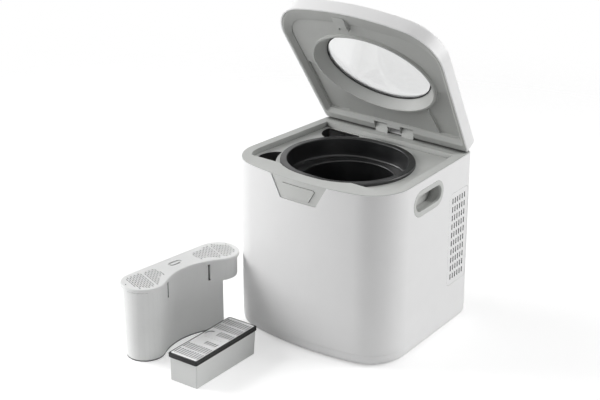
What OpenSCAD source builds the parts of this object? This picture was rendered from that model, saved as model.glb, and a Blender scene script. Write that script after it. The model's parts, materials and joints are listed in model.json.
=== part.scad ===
/* [Body] */
// Width across the back of the body
rear_w = 286; // [276:1:300]
// Angle by which each side widens towards the front
side_taper = 3.65; // [3:0.05:4.5]
// Depth of the body
body_d = 280; // [276:1:290]
// Height of the top of the body's wall above the base pan's underside
deck_z = 290.5; // [286:0.5:302]
// Radius of the bowed front
front_r = 500; // [440:10:560]
// Radius of the two front corners
corner_r = 68; // [62:1:72]
// Radius of the two rear corners
rear_r = 12; // [9:0.5:15]
// Wall of the outer shell
wall = 3; // [2.4:0.1:3.4]
// Height of the seam between the base pan and the shell
seam_z = 18.5; // [17:0.5:22]

/* [Lid] */
// Angle at which the lid stands open
lid_open = 59; // [0:1:59]
// Height of the lid's side above its parting plane
lid_h = 28; // [27:0.5:33]
// Wall of the lid's outer shell
lid_wall = 2.4; // [2:0.1:2.8]
// Gap between the closed lid and the deck
lid_gap = 1; // [0.6:0.1:1.6]
// Half width of the oval window
window_a = 100; // [92:1:104]
// Half depth of the oval window
window_b = 70; // [64:1:74]
// Thickness of the window pane
pane_t = 2.4; // [2:0.1:3]
// Distance of the hinge axis from the body's back
hinge_back = 9; // [8.6:0.1:9.6]
// Height of the hinge axis above the body's wall
hinge_up = 11.5; // [11.2:0.1:12.4]
// Diameter of the hinge pin
hinge_pin_d = 5; // [4:0.1:6]

/* [Bucket] */
// Radius of the bucket's rim
rim_r = 101; // [99:0.5:103]
// Half of the straight part of the rim
rim_flat = 10; // [6:1:12]
// Inner radius of the bucket's round lower part
bucket_r = 76.5; // [70:0.5:77]
// Wall of the bucket
bucket_wall = 2; // [1.6:0.1:2.4]
// Distance of the bucket's axis in front of the body's middle
bucket_fwd = 8; // [6:0.5:9]
// Height of the bucket's underside
bucket_z = 133; // [131:0.5:139]

/* [Filter box] */
// Half distance between the two lobes of the filter box
box_a = 80; // [76:0.5:82]
// Radius of each lobe's cover
box_r = 36.5; // [34:0.5:37]
// Depth of the filter box across its waist
box_waist = 48.5; // [46:0.5:50]
// Height of the filter box
box_h = 128; // [120:1:130]

/* [Cartridge] */
// Length of the carbon cartridge's cover
cart_l = 153; // [146:1:158]
// Width of the carbon cartridge's cover
cart_w = 57; // [56:0.5:61]
// Height of the carbon cartridge
cart_h = 48; // [44:0.5:50]

/* [Drive] */
// Module of the gears
gear_m = 2; // [2:0.05:2.1]
// Diameter of the motor's can
motor_d = 58; // [50:1:60]
// Diameter of the output shaft
shaft_d = 12; // [10:0.5:13]

/* [Hidden] */
$fn = 72;

// Clearances: a loose seat, a sliding fit, a running fit and the cut made past a face
seat_gap = 0.3;
slide_gap = 0.25;
run_gap = 0.06;
cut = 1;

// Colours
white = "#f4f4f2";
grey = "#c9cac6";
liner_grey = "#9b9c97";
black = "#17181a";
steel = "#b9bcc0";

// The body's outline, seen from above
side_c = rear_w / 2 * cos(side_taper) + body_d / 2 * sin(side_taper);
front_c = front_r - body_d / 2;

function turn(a) = [cos(a), sin(a)];
function arc(c, r, a0, a1, n) = [for (i = [0 : n]) c + r * turn(a0 + (a1 - a0) * i / n)];
function flip(p) = [for (i = [len(p) - 1 : -1 : 0]) [-p[i][0], p[i][1]]];

// Centre of a front corner's arc, which touches the straight side and the bowed front
function corner_c() =
  let (
    k = (side_c - corner_r) / cos(side_taper),
    m = tan(side_taper),
    a = m * m + 1,
    b = -2 * k * m - 2 * front_c,
    c = k * k + front_c * front_c - pow(front_r - corner_r, 2),
    y = (-b - sqrt(b * b - 4 * a * c)) / (2 * a)
  ) [k - m * y, y];

// The outline drawn in by a distance, as points: back corner, side, front corner and bowed front
function outline(inset = 0) =
  let (
    cc = corner_c(),
    r = corner_r - inset,
    rr = max(rear_r - inset, 1),
    c = side_c - inset,
    ry = body_d / 2 - inset - rr,
    rx = (c - rr - sin(side_taper) * ry) / cos(side_taper),
    v = cc - [0, front_c],
    a1 = atan2(v[1], v[0]),
    half = concat(
      arc([rx, ry], rr, 90, side_taper, 5),
      arc(cc, r, side_taper, a1, 14),
      [for (i = [1 : 8]) [0, front_c] + (front_r - inset) * turn(a1 + (-90 - a1) * i / 8)]
    )
  ) concat(half, [for (i = [1 : len(half) - 1]) flip(half)[i]]);

function half_width(y) = (side_c - sin(side_taper) * y) / cos(side_taper);

// A solid through level outlines, given as [height, points], that round an edge or slope a wall
module loft(levels) {
  n = len(levels[0][1]);
  k = len(levels);
  polyhedron(
    points = [for (l = levels) for (p = l[1]) [p[0], p[1], l[0]]],
    faces = concat(
      [[for (i = [n - 1 : -1 : 0]) i]],
      [[for (i = [0 : n - 1]) (k - 1) * n + i]],
      [for (j = [0 : k - 2]) for (i = [0 : n - 1]) [j * n + i, j * n + (i + 1) % n, (j + 1) * n + i]],
      [for (j = [0 : k - 2]) for (i = [0 : n - 1])
        [j * n + (i + 1) % n, (j + 1) * n + (i + 1) % n, (j + 1) * n + i]]
    )
  );
}

function oval(a, b, y = 0, n = 56) = [for (i = [0 : n - 1]) [a * cos(-360 * i / n), y + b * sin(-360 * i / n)]];
function obround(r, dx, n = 20) = concat(arc([-dx, 0], r, -90, -270, n), arc([dx, 0], r, 90, -90, n));
function stadium(l, w, n = 12) = concat(
  arc([(l - w) / 2, 0], w / 2, -90, 90, n),
  arc([-(l - w) / 2, 0], w / 2, 90, 270, n)
);

// A slab of a flat outline between two heights
module slab(points, z0, z1) translate([0, 0, z0]) linear_extrude(z1 - z0) polygon(points);
module rounded_rect(l, w, r) polygon(concat(
  arc([l / 2 - r, w / 2 - r], r, 0, 90, 5), arc([-l / 2 + r, w / 2 - r], r, 90, 180, 5),
  arc([-l / 2 + r, -w / 2 + r], r, 180, 270, 5), arc([l / 2 - r, -w / 2 + r], r, 270, 360, 5)));

// A coil spring along +Z: a round wire carried along a helix
module coil(r, wire, turns, length) {
  per = 16;
  sides = 6;
  steps = per * turns;
  pitch = (length - wire) / turns;
  polyhedron(
    points = [for (i = [0 : steps]) let (a = 360 * i / per, z = wire / 2 + pitch * i / per)
      for (j = [0 : sides - 1]) let (b = 360 * j / sides)
        [(r + wire / 2 * cos(b)) * cos(a), (r + wire / 2 * cos(b)) * sin(a), z + wire / 2 * sin(b)]],
    faces = concat(
      [[for (j = [sides - 1 : -1 : 0]) j]],
      [[for (j = [0 : sides - 1]) steps * sides + j]],
      [for (i = [0 : steps - 1]) for (j = [0 : sides - 1]) let (k = (j + 1) % sides)
        [i * sides + j, i * sides + k, (i + 1) * sides + j]],
      [for (i = [0 : steps - 1]) for (j = [0 : sides - 1]) let (k = (j + 1) % sides)
        [i * sides + k, (i + 1) * sides + k, (i + 1) * sides + j]]
    )
  );
}

// Places children on a side wall: local x runs outwards, y towards the back, and 0 is the outer face
module on_side(side, y, z) {
  p = [half_width(y), y, z];
  mirror([side < 0 ? 1 : 0, 0, 0]) translate(p) rotate([0, 0, side_taper]) children();
}

// Heights
bucket_c = [0, -bucket_fwd];
pan_z = 0;
foot_t = 1.5;
deck_top = deck_z + 0.6;
flange_t = 3.4;
flange_z = deck_top - flange_t;
tray_z = deck_z - 8.4;
tray_t = 2.4;
rim_z = tray_z;
rim_t = 6;
collar_r = rim_r - 9;
collar_z = deck_z - 36.5;
seat_r = bucket_r + bucket_wall + 0.8;
seat_wall = 1.7;
seat_z = bucket_z - seat_gap - seat_wall;
seat_top = collar_z - 2.6;
tray_inset = 17;
tray_front = -94;
tray_back = body_d / 2 - 34;
skirt_r = collar_r + 3;
skirt_wall = 2;

// The tray's place in the deck: inside the step, ahead of the hinge ledge, and round the rim
module tray_plan(grow = 0) {
  intersection() {
    polygon(outline(tray_inset - grow));
    translate([-rear_w, tray_front - grow]) square([2 * rear_w, tray_back - tray_front + 2 * grow]);
  }
  translate(bucket_c) polygon(obround(rim_r + 4 + grow, rim_flat));
}

module at_bucket() translate([bucket_c[0], bucket_c[1], 0]) children();

// Base

foot_d = 24;
foot_xy = [[104, -76], [-104, -76], [112, 104], [-112, 104]];
post_d = 11;
gear_post = [[-45, -8], [70.5, 29.5], [76.5, -42], [-21, -49]];
post_top = 63;

module base_pan() color(white) {
  difference() {
    loft([
      [pan_z, outline(9)], [pan_z + 1, outline(6)], [pan_z + 3, outline(3.4)],
      [pan_z + 6, outline(1.5)], [pan_z + 10, outline(0.6)], [seam_z - 0.4, outline(0.4)]
    ]);
    slab(outline(wall + 3), pan_z + wall, seam_z + cut);
    for (p = foot_xy) translate([p[0], p[1], pan_z - cut]) cylinder(d = foot_d + 2 * slide_gap, h = foot_t + cut);
    for (i = [-4 : 4]) translate([26 + 7 * i, -46, pan_z - cut]) linear_extrude(wall + 2 * cut)
      polygon(stadium(3, 3) + [for (k = [0 : 25]) [0, (k > 6 && k < 20) ? 20 : -20]]);
  }
  difference() {
    slab(outline(wall + slide_gap), pan_z + wall, seam_z + 7);
    slab(outline(wall + 2.3), pan_z, seam_z + 7 + cut);
  }
  for (p = gear_post) translate([p[0], p[1], pan_z + wall]) difference() {
    cylinder(d = post_d, h = post_top - pan_z - wall);
    translate([0, 0, post_top - pan_z - wall - 14]) cylinder(d = 3, h = 14 + cut);
  }
}

module rubber_feet() color(black)
  for (p = foot_xy) translate([p[0], p[1], -foot_t]) cylinder(d = foot_d, h = 2 * foot_t);

// Front panel and button: a tapering tongue of the deck that folds over the front wall
tongue_top = 54;
tongue_low = 36.5;
tongue_z = deck_z - 35;
button_top = 32;
button_low = 23;
button_z = [deck_z - 30.5, deck_z - 9];
button_travel = 3;

module tongue_plan(grow = 0, top = 0) {
  s = (tongue_top - tongue_low) / (deck_z - tongue_z);
  r = 4;
  low = tongue_low + grow;
  high = low + s * (deck_z + top - tongue_z + grow);
  polygon(concat(
    [[-high, deck_z + top], [high, deck_z + top]],
    arc([low - r, tongue_z - grow + r], r, 0, -90, 5),
    arc([-low + r, tongue_z - grow + r], r, -90, -180, 5)
  ));
}

module button_plan(grow = 0) {
  r = 3 + grow;
  z0 = button_z[0];
  z1 = button_z[1];
  polygon(concat(
    arc([button_low - 3, z0 + 3], r, 0, -90, 5), arc([-button_low + 3, z0 + 3], r, -90, -180, 5),
    arc([-button_top + 3, z1 - 3], r, 180, 90, 5), arc([button_top - 3, z1 - 3], r, 90, 0, 5)
  ));
}

// A flat plan in x and z, carried along y
module along_y(y0, y1) translate([0, y1, 0]) rotate([90, 0, 0]) linear_extrude(y1 - y0) children();

// A curved skin of the bowed front, from one depth behind the front face to another
module front_skin(d0, d1) intersection() {
  translate([0, front_c, tongue_z - 20]) difference() {
    cylinder(r = front_r - d0, h = deck_z - tongue_z + 40, $fn = 360);
    translate([0, 0, -cut]) cylinder(r = front_r - d1, h = deck_z - tongue_z + 42, $fn = 360);
  }
  children();
}

// Side openings
handle_l = 92;
handle_w = 44;
handle_y = 1;
handle_z = deck_z - 36;
handle_depth = 24;
grip_l = 78;
grip_w = 27;
grille_y = 99;
grille_z = 155.5;
grille_l = 162;
grille_w = 60;
inlet_x = 92;
inlet_z = 46.5;
inlet_w = 27.5;
inlet_h = 20;

module side_stadium(l, w, x0, x1)
  translate([x0, 0, 0]) rotate([90, 0, 90]) linear_extrude(x1 - x0) polygon(stadium(l, w));
module side_rect(l, w, r, x0, x1)
  translate([x0, 0, 0]) rotate([90, 0, 90]) linear_extrude(x1 - x0) rounded_rect(l, w, r);

module outer_shell() color(white) difference() {
  slab(outline(0), seam_z, deck_z);
  slab(outline(wall), seam_z - cut, deck_z + cut);
  slab(outline(wall / 2), flange_z, deck_z + cut);
  along_y(-body_d, front_c - front_r + 30) tongue_plan(slide_gap, cut);
  for (s = [-1, 1]) on_side(s, handle_y, handle_z)
    side_stadium(handle_l + 2 * slide_gap, handle_w + 2 * slide_gap, -2 * wall, cut);
  on_side(1, grille_y, grille_z)
    side_rect(grille_w + 2 * slide_gap, grille_l + 2 * slide_gap, 8, -2 * wall, cut);
  translate([inlet_x, body_d / 2, inlet_z])
    cube([inlet_w + 2 * slide_gap, 4 * wall, inlet_h + 2 * slide_gap], center = true);
}

// Deck
hinge_y = body_d / 2 - hinge_back;
hinge_z = deck_z + hinge_up;
lug_x = [14, 38];
lug_r = 7;

module deck_frame() color(grey) {
  difference() {
    union() {
      slab(outline(wall / 2 + 0.2), flange_z, deck_top);
      slab(outline(wall + seat_gap), tray_z - tray_t, flange_z);
    }
    translate([0, 0, tray_z - tray_t - cut]) linear_extrude(20) tray_plan(slide_gap);
    // hollow under the front ledge and under the hinge ledge
    translate([0, 0, tray_z - tray_t - cut]) linear_extrude(deck_top - 2.6 - tray_z + tray_t + cut) intersection() {
      polygon(outline(wall + 2.6));
      union() {
        translate([-90, -body_d]) square([180, body_d + tray_front - 2]);
        translate([-120, tray_back + 3]) square([240, 22]);
      }
    }
    along_y(-body_d, front_c - front_r + 13) button_plan(0.5);
  }
  difference() {
    front_skin(1.4, 3.6) along_y(-body_d, 0) tongue_plan(-slide_gap / 2, deck_top - deck_z - 0.8);
    along_y(-body_d, 0) button_plan(0.5);
  }
  for (s = [-1, 1]) mirror([s < 0 ? 1 : 0, 0, 0]) translate([lug_x[0], 0, 0]) rotate([90, 0, 90])
    linear_extrude(lug_x[1] - lug_x[0]) difference() {
      union() {
        translate([hinge_y, hinge_z]) circle(r = lug_r);
        polygon([
          [hinge_y - lug_r, hinge_z], [hinge_y - lug_r - 2, deck_top - 0.6],
          [hinge_y + lug_r - 1, deck_top - 0.6], [hinge_y + lug_r, hinge_z]
        ]);
      }
      translate([hinge_y, hinge_z]) circle(d = hinge_pin_d + 0.04);
    }
}

// Filter bay and its two mouths in the deck
bay_gap = 0.9;
bay_wall = 1.6;
bay_top = 230.5;
bay_y = -bucket_fwd - 60;
bay_lobe = [50.27 - half_width(bay_y), bay_y];
mouth_c = [57.14 - half_width(bay_y + 2), bay_y + 2];
mouth_r = 33;
mouth_ring = 116;

// The filter box seen from above: x runs along it, y from its flat side to its hollow side
function crescent(inset) =
  let (
    d = box_waist - box_r,
    rc = (box_a * box_a + d * d - box_r * box_r) / (2 * (box_r - d)),
    wc = box_waist + rc,
    r = box_r - inset,
    t = atan2(wc - box_r, -box_a),
    right = arc([box_a, box_r], r, -90, t, 14),
    hollow = arc([0, wc], rc + inset, t - 180, -t, 12)
  ) concat(right, [for (i = [1 : 11]) hollow[i]], flip(right));

// Turns the box's own frame to the bay on the body's left, along the tapering wall
module at_bay() translate([bay_lobe[0], bay_lobe[1], 0]) rotate([0, 0, 90 - side_taper]) mirror([0, 1, 0])
  translate([box_a, -box_r, 0]) children();

module lobe_mouths(r, ring) {
  difference() {
    union() {
      translate(mouth_c) circle(r = r);
      translate(mouth_c + 2 * box_a * [sin(side_taper), cos(side_taper)]) circle(r = r);
    }
    translate(bucket_c) circle(r = ring);
    translate([-rear_w, tray_back - 3]) square(2 * rear_w);
  }
}

module deck_tray() color(grey) difference() {
  union() {
    translate([0, 0, tray_z - tray_t]) linear_extrude(tray_t) tray_plan(0);
    translate([0, 0, seat_top]) linear_extrude(tray_z - tray_t / 2 - seat_top) translate(bucket_c)
      polygon(obround(skirt_r + skirt_wall, rim_flat));
    translate([0, 0, bay_top + 0.3]) linear_extrude(tray_z - tray_t - bay_top - 0.3)
      lobe_mouths(mouth_r + 1.8, mouth_ring - 1.8);
  }
  at_bucket() translate([0, 0, seat_top - cut]) linear_extrude(60) polygon(obround(skirt_r, rim_flat));
  translate([0, 0, bay_top - cut]) linear_extrude(80) lobe_mouths(mouth_r, mouth_ring);
}

module filter_bay() color("#8f918e") difference() {
  at_bay() slab(crescent(-bay_gap - bay_wall), bay_top - box_h - 3, bay_top);
  at_bay() slab(crescent(-bay_gap), bay_top - box_h - 3 + bay_wall, bay_top + cut);
  translate([duct_x[0] - 20, duct_y[0] + 5, duct_z[0] + 4])
    cube([30, duct_y[1] - duct_y[0] - 18, duct_z[1] - duct_z[0] - 8]);
}

module filter_clip() color("#3c3d3f") translate([-111, -85.7, tray_z - 13]) rotate([0, 0, -52]) {
  rotate([14, 0, 0]) rounded_bar(30, 8, 3);
  translate([0, 0, -12.5]) cube([9, 3, 25], center = true);
}
module rounded_bar(l, w, t) linear_extrude(t, center = true) polygon(stadium(l, w));

// Handle cups and vent

module handle_cup() color(grey) difference() {
  union() {
    side_stadium(handle_l, handle_w, -handle_depth, 0.2);
    side_stadium(handle_l + 8, handle_w + 2, -wall - 2.4, -wall - 0.1);
  }
  side_stadium(grip_l, grip_w, -handle_depth + 2, cut);
  side_stadium(grip_l + 8, grip_w + 9, -handle_depth + 2, -5);
}
module handle_cup_right() on_side(1, handle_y, handle_z) handle_cup();
module handle_cup_left() on_side(-1, handle_y, handle_z) handle_cup();

slot_w = 2.8;
slot_h = 9.5;
slot_pitch = [7.6, 14.9];
slot_n = [6, 10];

module vent_grille() color(white) on_side(1, grille_y, grille_z) difference() {
  side_rect(grille_w, grille_l, 7.75, -wall - 1.9, -0.15);
  side_rect(grille_w - 4, grille_l - 4, 6, -2 * wall, -2.2);
  for (i = [0 : slot_n[0] - 1]) for (j = [0 : slot_n[1] - 1])
    translate([0, (i - (slot_n[0] - 1) / 2) * slot_pitch[0], (j - (slot_n[1] - 1) / 2) * slot_pitch[1]])
      rotate([90, 0, 90]) translate([0, 0, -3 * wall]) linear_extrude(4 * wall) square([slot_w, slot_h], center = true);
}

cart_bay_depth = cart_h + 2;
module cartridge_bay() color("#8f918e") on_side(1, grille_y, grille_z) difference() {
  side_rect(cart_w + 5, cart_l + 9, 4, -wall - 2 - cart_bay_depth, -wall - 2);
  side_rect(cart_w + 1.6, cart_l + 1.6, 2, -wall - cart_bay_depth, -wall);
  translate([-wall - cart_bay_depth, 0, 0]) rotate([0, 90, 0]) cylinder(d = 54, h = 20, center = true);
}

fan_size = 60;
fan_t = 20;
fan_x = -wall - 2.2 - cart_bay_depth - fan_t;
duct_y = [grille_y - 22, grille_y + 32];
duct_x = [79.3 - half_width(grille_y + 5), half_width(grille_y) + fan_x - 2.6];
duct_z = [grille_z - 24, grille_z + 24];
module fan_frame() color("#2a2b2d") on_side(1, grille_y, grille_z) {
  difference() {
    side_rect(fan_size, fan_size, 3, fan_x, fan_x + fan_t);
    translate([fan_x - cut, 0, 0]) rotate([0, 90, 0]) cylinder(d = 56, h = fan_t + 2 * cut);
  }
  for (a = [45 : 90 : 315]) rotate([a, 0, 0]) translate([fan_x, -1.5, 10]) cube([2, 3, 19]);
  translate([fan_x, 0, 0]) rotate([0, 90, 0]) cylinder(d = 24, h = 4);
}

module fan_rotor() color("#232426") on_side(1, grille_y, grille_z) {
  translate([fan_x + 4.3, 0, 0]) rotate([0, 90, 0]) cylinder(d = 24, h = 14);
  for (i = [0 : 6]) rotate([360 / 7 * i, 0, 0]) translate([fan_x + 11, 0, 18]) rotate([0, 0, 35])
    cube([15, 1.4, 14], center = true);
}

module air_duct() color("#8f918e") difference() {
  translate([duct_x[0], duct_y[0], duct_z[0]])
    cube([duct_x[1] - duct_x[0], duct_y[1] - duct_y[0], duct_z[1] - duct_z[0]]);
  translate([duct_x[0] - cut, duct_y[0] + 2, duct_z[0] + 2])
    cube([duct_x[1] - duct_x[0] + 2 * cut, duct_y[1] - duct_y[0] - 4, duct_z[1] - duct_z[0] - 4]);
  at_bay() slab(crescent(-bay_gap - bay_wall - 0.3), duct_z[0] - cut, duct_z[1] + cut);
}

// Bucket seat and heater

module bucket_seat() color(steel) difference() {
  union() {
    at_bucket() rotate_extrude($fn = 120) difference() {
      polygon(cup_profile(seat_r + seat_wall, seat_z, seat_top - 1, 12));
      polygon(cup_profile(seat_r, seat_z + seat_wall, seat_top + cut, 10));
    }
    translate([0, 0, seat_top - 2.2]) linear_extrude(2.2) difference() {
      translate(bucket_c) polygon(obround(skirt_r + skirt_wall, rim_flat));
      translate(bucket_c) circle(r = seat_r, $fn = 120);
    }
  }
  at_bucket() translate([0, 0, seat_z - cut]) cylinder(r = hub_r + 11, h = 10);
}
function cup_profile(r, z0, z1, fillet) = concat(
  [[0, z1], [0, z0]], arc([r - fillet, z0 + fillet], fillet, -90, 0, 6), [[r, z1]]
);

hub_r = 13;
module heater_plate() color("#8d8f92") at_bucket() translate([0, 0, seat_z - 5.1]) difference() {
  cylinder(r = 66, h = 5);
  translate([0, 0, -cut]) cylinder(r = 34, h = 5 + 2 * cut);
  for (a = [0 : 60 : 300]) rotate([0, 0, a]) translate([50, 0, -cut]) cylinder(d = 9, h = 5 + 2 * cut);
}
module thermal_switch() color("#d9d4c4") at_bucket() rotate([0, 0, 205]) translate([50, 0, seat_z - 5.2 - 7]) {
  cylinder(d = 16, h = 7);
  translate([-4, -10, -3]) cube([8, 20, 3.2]);
}
module seat_screws() color(steel) for (a = [35, 145, 215, 325]) {
  p = bucket_c + [(cos(a) > 0 ? 1 : -1) * rim_flat, 0] + (seat_r + 9) * turn(a);
  translate([p[0], p[1], seat_top - 2.3 - 2.4]) cylinder(d = 6, h = 2.4);
}

// Bucket and stirrer
floor_t = 2.5;
module bucket() color(black) difference() {
  union() {
    at_bucket() rotate_extrude($fn = 120) polygon(cup_profile(bucket_r + bucket_wall, bucket_z, collar_z + 1, 11));
    at_bucket() slab(obround(collar_r, rim_flat), collar_z, rim_z + 1);
    at_bucket() loft([
      [rim_z + 0.1, obround(rim_r, rim_flat)], [rim_z + rim_t - 2.4, obround(rim_r, rim_flat)],
      [rim_z + rim_t - 0.8, obround(rim_r - 0.8, rim_flat)], [rim_z + rim_t, obround(rim_r - 2.4, rim_flat)]
    ]);
  }
  at_bucket() rotate_extrude($fn = 120) polygon(cup_profile(bucket_r, bucket_z + floor_t, collar_z + 3, 9));
  at_bucket() slab(obround(collar_r - bucket_wall, rim_flat), collar_z + bucket_wall, rim_z + rim_t + cut);
  at_bucket() translate([0, 0, bucket_z - cut]) cylinder(r = bush_r, h = 20);
}
bush_r = 10;
spindle_d = 10;
spindle_top = bucket_z + 34;
module bucket_bush() color("#c9b37a") at_bucket() translate([0, 0, bucket_z - 3]) difference() {
  union() {
    cylinder(r = bush_r, h = floor_t + 5);
    translate([0, 0, 3 + floor_t]) cylinder(r = hub_r, h = 3);
  }
  translate([0, 0, -cut]) cylinder(d = spindle_d + 2 * run_gap, h = 30);
}

// One stirring arm: a blade that lies along the floor, thin at its leading edge and turned up at its tip
module arm(length, lift) {
  rotate([90, 0, 90]) linear_extrude(length) polygon([[-8, 0], [8, 0], [9, 1.2], [2, 7], [-4, 8], [-8, 5]]);
  translate([length - 6, 0, 0]) rotate([90, 0, 90]) linear_extrude(6)
    polygon([[-8, 0], [8, 0], [8, lift * 0.5], [1, lift], [-6, lift * 0.8], [-8, 6]]);
}
module stirrer() color(steel) at_bucket() translate([0, 0, bucket_z + floor_t]) {
  translate([0, 0, 3.3]) cylinder(r = 14, h = 22);
  translate([0, 0, 25]) cylinder(r1 = 14, r2 = 6, h = 7);
  for (i = [0, 1]) rotate([0, 0, 25 + 180 * i]) translate([10, 0, 3.4]) arm(bucket_r - 19.5, i == 0 ? 26 : 16);
  rotate([0, 0, 110]) translate([0, 0, 15]) rotate([90, 0, 90]) linear_extrude(bucket_r - 10)
    polygon([[-6, 0], [6, 1], [3, 5], [-4, 6]]);
  rotate([0, 0, 290]) translate([0, 0, 10]) rotate([90, 0, 90]) linear_extrude(bucket_r - 14)
    polygon([[-6, 0], [6, 1], [3, 5], [-4, 6]]);
  translate([0, 0, -floor_t - 3.4]) cylinder(d = spindle_d, h = floor_t + 8);
}
dog_af = 12;
dog_z = bucket_z - 12;
module driven_dog() color("#6d6f72") at_bucket() translate([0, 0, dog_z]) difference() {
  cylinder(r = 11.5, h = 8.6);
  translate([0, 0, -cut]) cylinder(d = dog_af / cos(30) + 0.7, h = 6 + cut, $fn = 6);
}

// Gearbox: a motor pinion, a double idler and an output gear
pinion_n = 10;
idler_big_n = 34;
idler_small_n = 12;
output_n = 36;
backlash = 0.5;
idler_c = bucket_c + [gear_m * (idler_small_n + output_n) / 2, 0];
mesh_a = 240;
pinion_c = idler_c + gear_m * (pinion_n + idler_big_n) / 2 * turn(mesh_a);
case_z = [post_top, post_top + 34];
case_wall = 2.5;
lower_z = case_z[0] + 4;
upper_z = case_z[0] + 17;
gear_t = 11;

// Half thickness of an involute tooth, as an angle, at a radius
function inv(a) = tan(a) * 180 / PI - a;
function tooth_half(n, r) =
  let (rp = gear_m * n / 2, rb = rp * cos(20), a = r > rb ? acos(rb / r) : 0)
    90 / n - backlash / rp * 28.65 + inv(20) - inv(a);
function gear_points(n, phase) =
  let (rp = gear_m * n / 2, r0 = rp - 1.15 * gear_m, r1 = rp + 0.85 * gear_m, rb = max(rp * cos(20), r0 + 0.1),
    radii = [r0, rb, (rb + rp) / 2, rp, (rp + r1) / 2, r1])
  [for (i = [0 : n - 1]) each concat(
    [for (r = radii) r * turn(phase + 360 / n * i - tooth_half(n, r))],
    [for (k = [5 : -1 : 0]) radii[k] * turn(phase + 360 / n * i + tooth_half(n, radii[k]))]
  )];

module output_gear() color("#c9a86a") at_bucket() translate([0, 0, upper_z]) linear_extrude(gear_t) difference() {
  polygon(gear_points(output_n, 180 / output_n));
  circle(d = shaft_d + 0.02);
  for (a = [0 : 60 : 300]) rotate(a) translate([20, 0]) circle(r = 6);
}
module idler_gear() color("#d8d6cf") translate([idler_c[0], idler_c[1], 0]) difference() {
  union() {
    translate([0, 0, lower_z]) linear_extrude(gear_t) polygon(gear_points(idler_big_n, mesh_a));
    translate([0, 0, lower_z + gear_t - 0.5]) linear_extrude(gear_t + 2.5) polygon(gear_points(idler_small_n, 180));
  }
  translate([0, 0, lower_z - cut]) cylinder(d = 6 + 2 * run_gap, h = 40);
}
module idler_pin() color(steel) translate([idler_c[0], idler_c[1], case_z[0] + 0.5])
  cylinder(d = 6, h = case_z[1] - case_z[0] - 1);
module motor_pinion() color(steel) translate([pinion_c[0], pinion_c[1], 0]) {
  translate([0, 0, lower_z]) linear_extrude(gear_t) polygon(gear_points(pinion_n, mesh_a - 180 + 180 / pinion_n));
  translate([0, 0, case_z[0] - 6]) cylinder(d = 5, h = 12);
}
module output_shaft() color(steel) at_bucket() {
  translate([0, 0, case_z[0] + 1]) cylinder(d = shaft_d, h = dog_z - 1 - case_z[0] - 1);
  translate([0, 0, dog_z - 1]) cylinder(d = dog_af / cos(30), h = 6, $fn = 6);
  translate([0, 0, dog_z - 3]) cylinder(d = 18, h = 2);
}
module shaft_bearings() color(steel) at_bucket() for (z = [case_z[0] + 1, case_z[1] - 1])
  translate([0, 0, z]) difference() {
    cylinder(d = shaft_d + 12, h = 7);
    translate([0, 0, -cut]) cylinder(d = shaft_d + 2 * run_gap, h = 9);
  }
module case_plan(grow) hull() {
  translate(bucket_c) circle(r = 42 + grow, $fn = 48);
  translate(idler_c) circle(r = 39 + grow, $fn = 48);
  translate(pinion_c) circle(r = 16 + grow, $fn = 32);
}
module gearbox_tray() color("#55575a") difference() {
  union() {
    translate([0, 0, case_z[0]]) linear_extrude(case_z[1] - case_z[0] - case_wall) case_plan(0);
    for (p = gear_post) translate([p[0], p[1], case_z[0]]) cylinder(d = post_d, h = case_z[1] - case_z[0] - case_wall);
  }
  translate([0, 0, case_z[0] + case_wall]) linear_extrude(40) case_plan(-case_wall);
  for (p = gear_post) translate([p[0], p[1], case_z[0] - cut]) cylinder(d = 3.4, h = 50);
  at_bucket() translate([0, 0, case_z[0] + 1]) cylinder(d = shaft_d + 12.1, h = 10);
  translate([idler_c[0], idler_c[1], case_z[0] + 0.5]) cylinder(d = 6.01, h = 10);
  translate([pinion_c[0], pinion_c[1], case_z[0] - cut]) cylinder(d = 14, h = 10);
}
module gearbox_cover() color("#5f6164") difference() {
  union() {
    translate([0, 0, case_z[1] - case_wall]) linear_extrude(case_wall) case_plan(0);
    for (p = gear_post) translate([p[0], p[1], case_z[1] - case_wall]) cylinder(d = post_d, h = case_wall);
    at_bucket() translate([0, 0, case_z[1] - case_wall]) cylinder(d = shaft_d + 18, h = case_wall + 6);
  }
  at_bucket() translate([0, 0, case_z[1] - 1]) cylinder(d = shaft_d + 12.1, h = 10);
  for (p = gear_post) translate([p[0], p[1], case_z[1] - 10]) cylinder(d = 3.4, h = 20);
  at_bucket() translate([0, 0, case_z[1] - 10]) cylinder(d = shaft_d + 2, h = 20);
  translate([idler_c[0], idler_c[1], case_z[1] - 4]) cylinder(d = 6.01, h = 3.5);
}
module gearbox_screws() color(steel) for (p = gear_post) translate([p[0], p[1], 0]) {
  translate([0, 0, case_z[0] - 12]) cylinder(d = 2.9, h = case_z[1] - case_z[0] + 12);
  translate([0, 0, case_z[1]]) cylinder(d = 6, h = 2.2);
}
module motor() color("#85888c") translate([pinion_c[0], pinion_c[1], 0]) difference() {
  union() {
    translate([0, 0, 9]) cylinder(d = motor_d, h = case_z[0] - 9.3);
    translate([0, 0, 6]) cylinder(d = 22, h = 4);
    translate([0, 0, case_z[0] - 0.3]) cylinder(d = 13, h = 2);
  }
  translate([0, 0, case_z[0] - 8]) cylinder(d = 5 + 2 * run_gap, h = 12);
  translate([0, 0, 20]) difference() {
    cylinder(d = motor_d + cut, h = 24);
    translate([0, 0, -cut]) cylinder(d = motor_d - 1.6, h = 30);
  }
}

// Start button, its two springs and the switch behind it

button_y = front_c - front_r + 9;
button_mid = button_z[0] + 10.5;
bracket_y = button_y + 12;
ledge_under = deck_top - 2.7;

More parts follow.
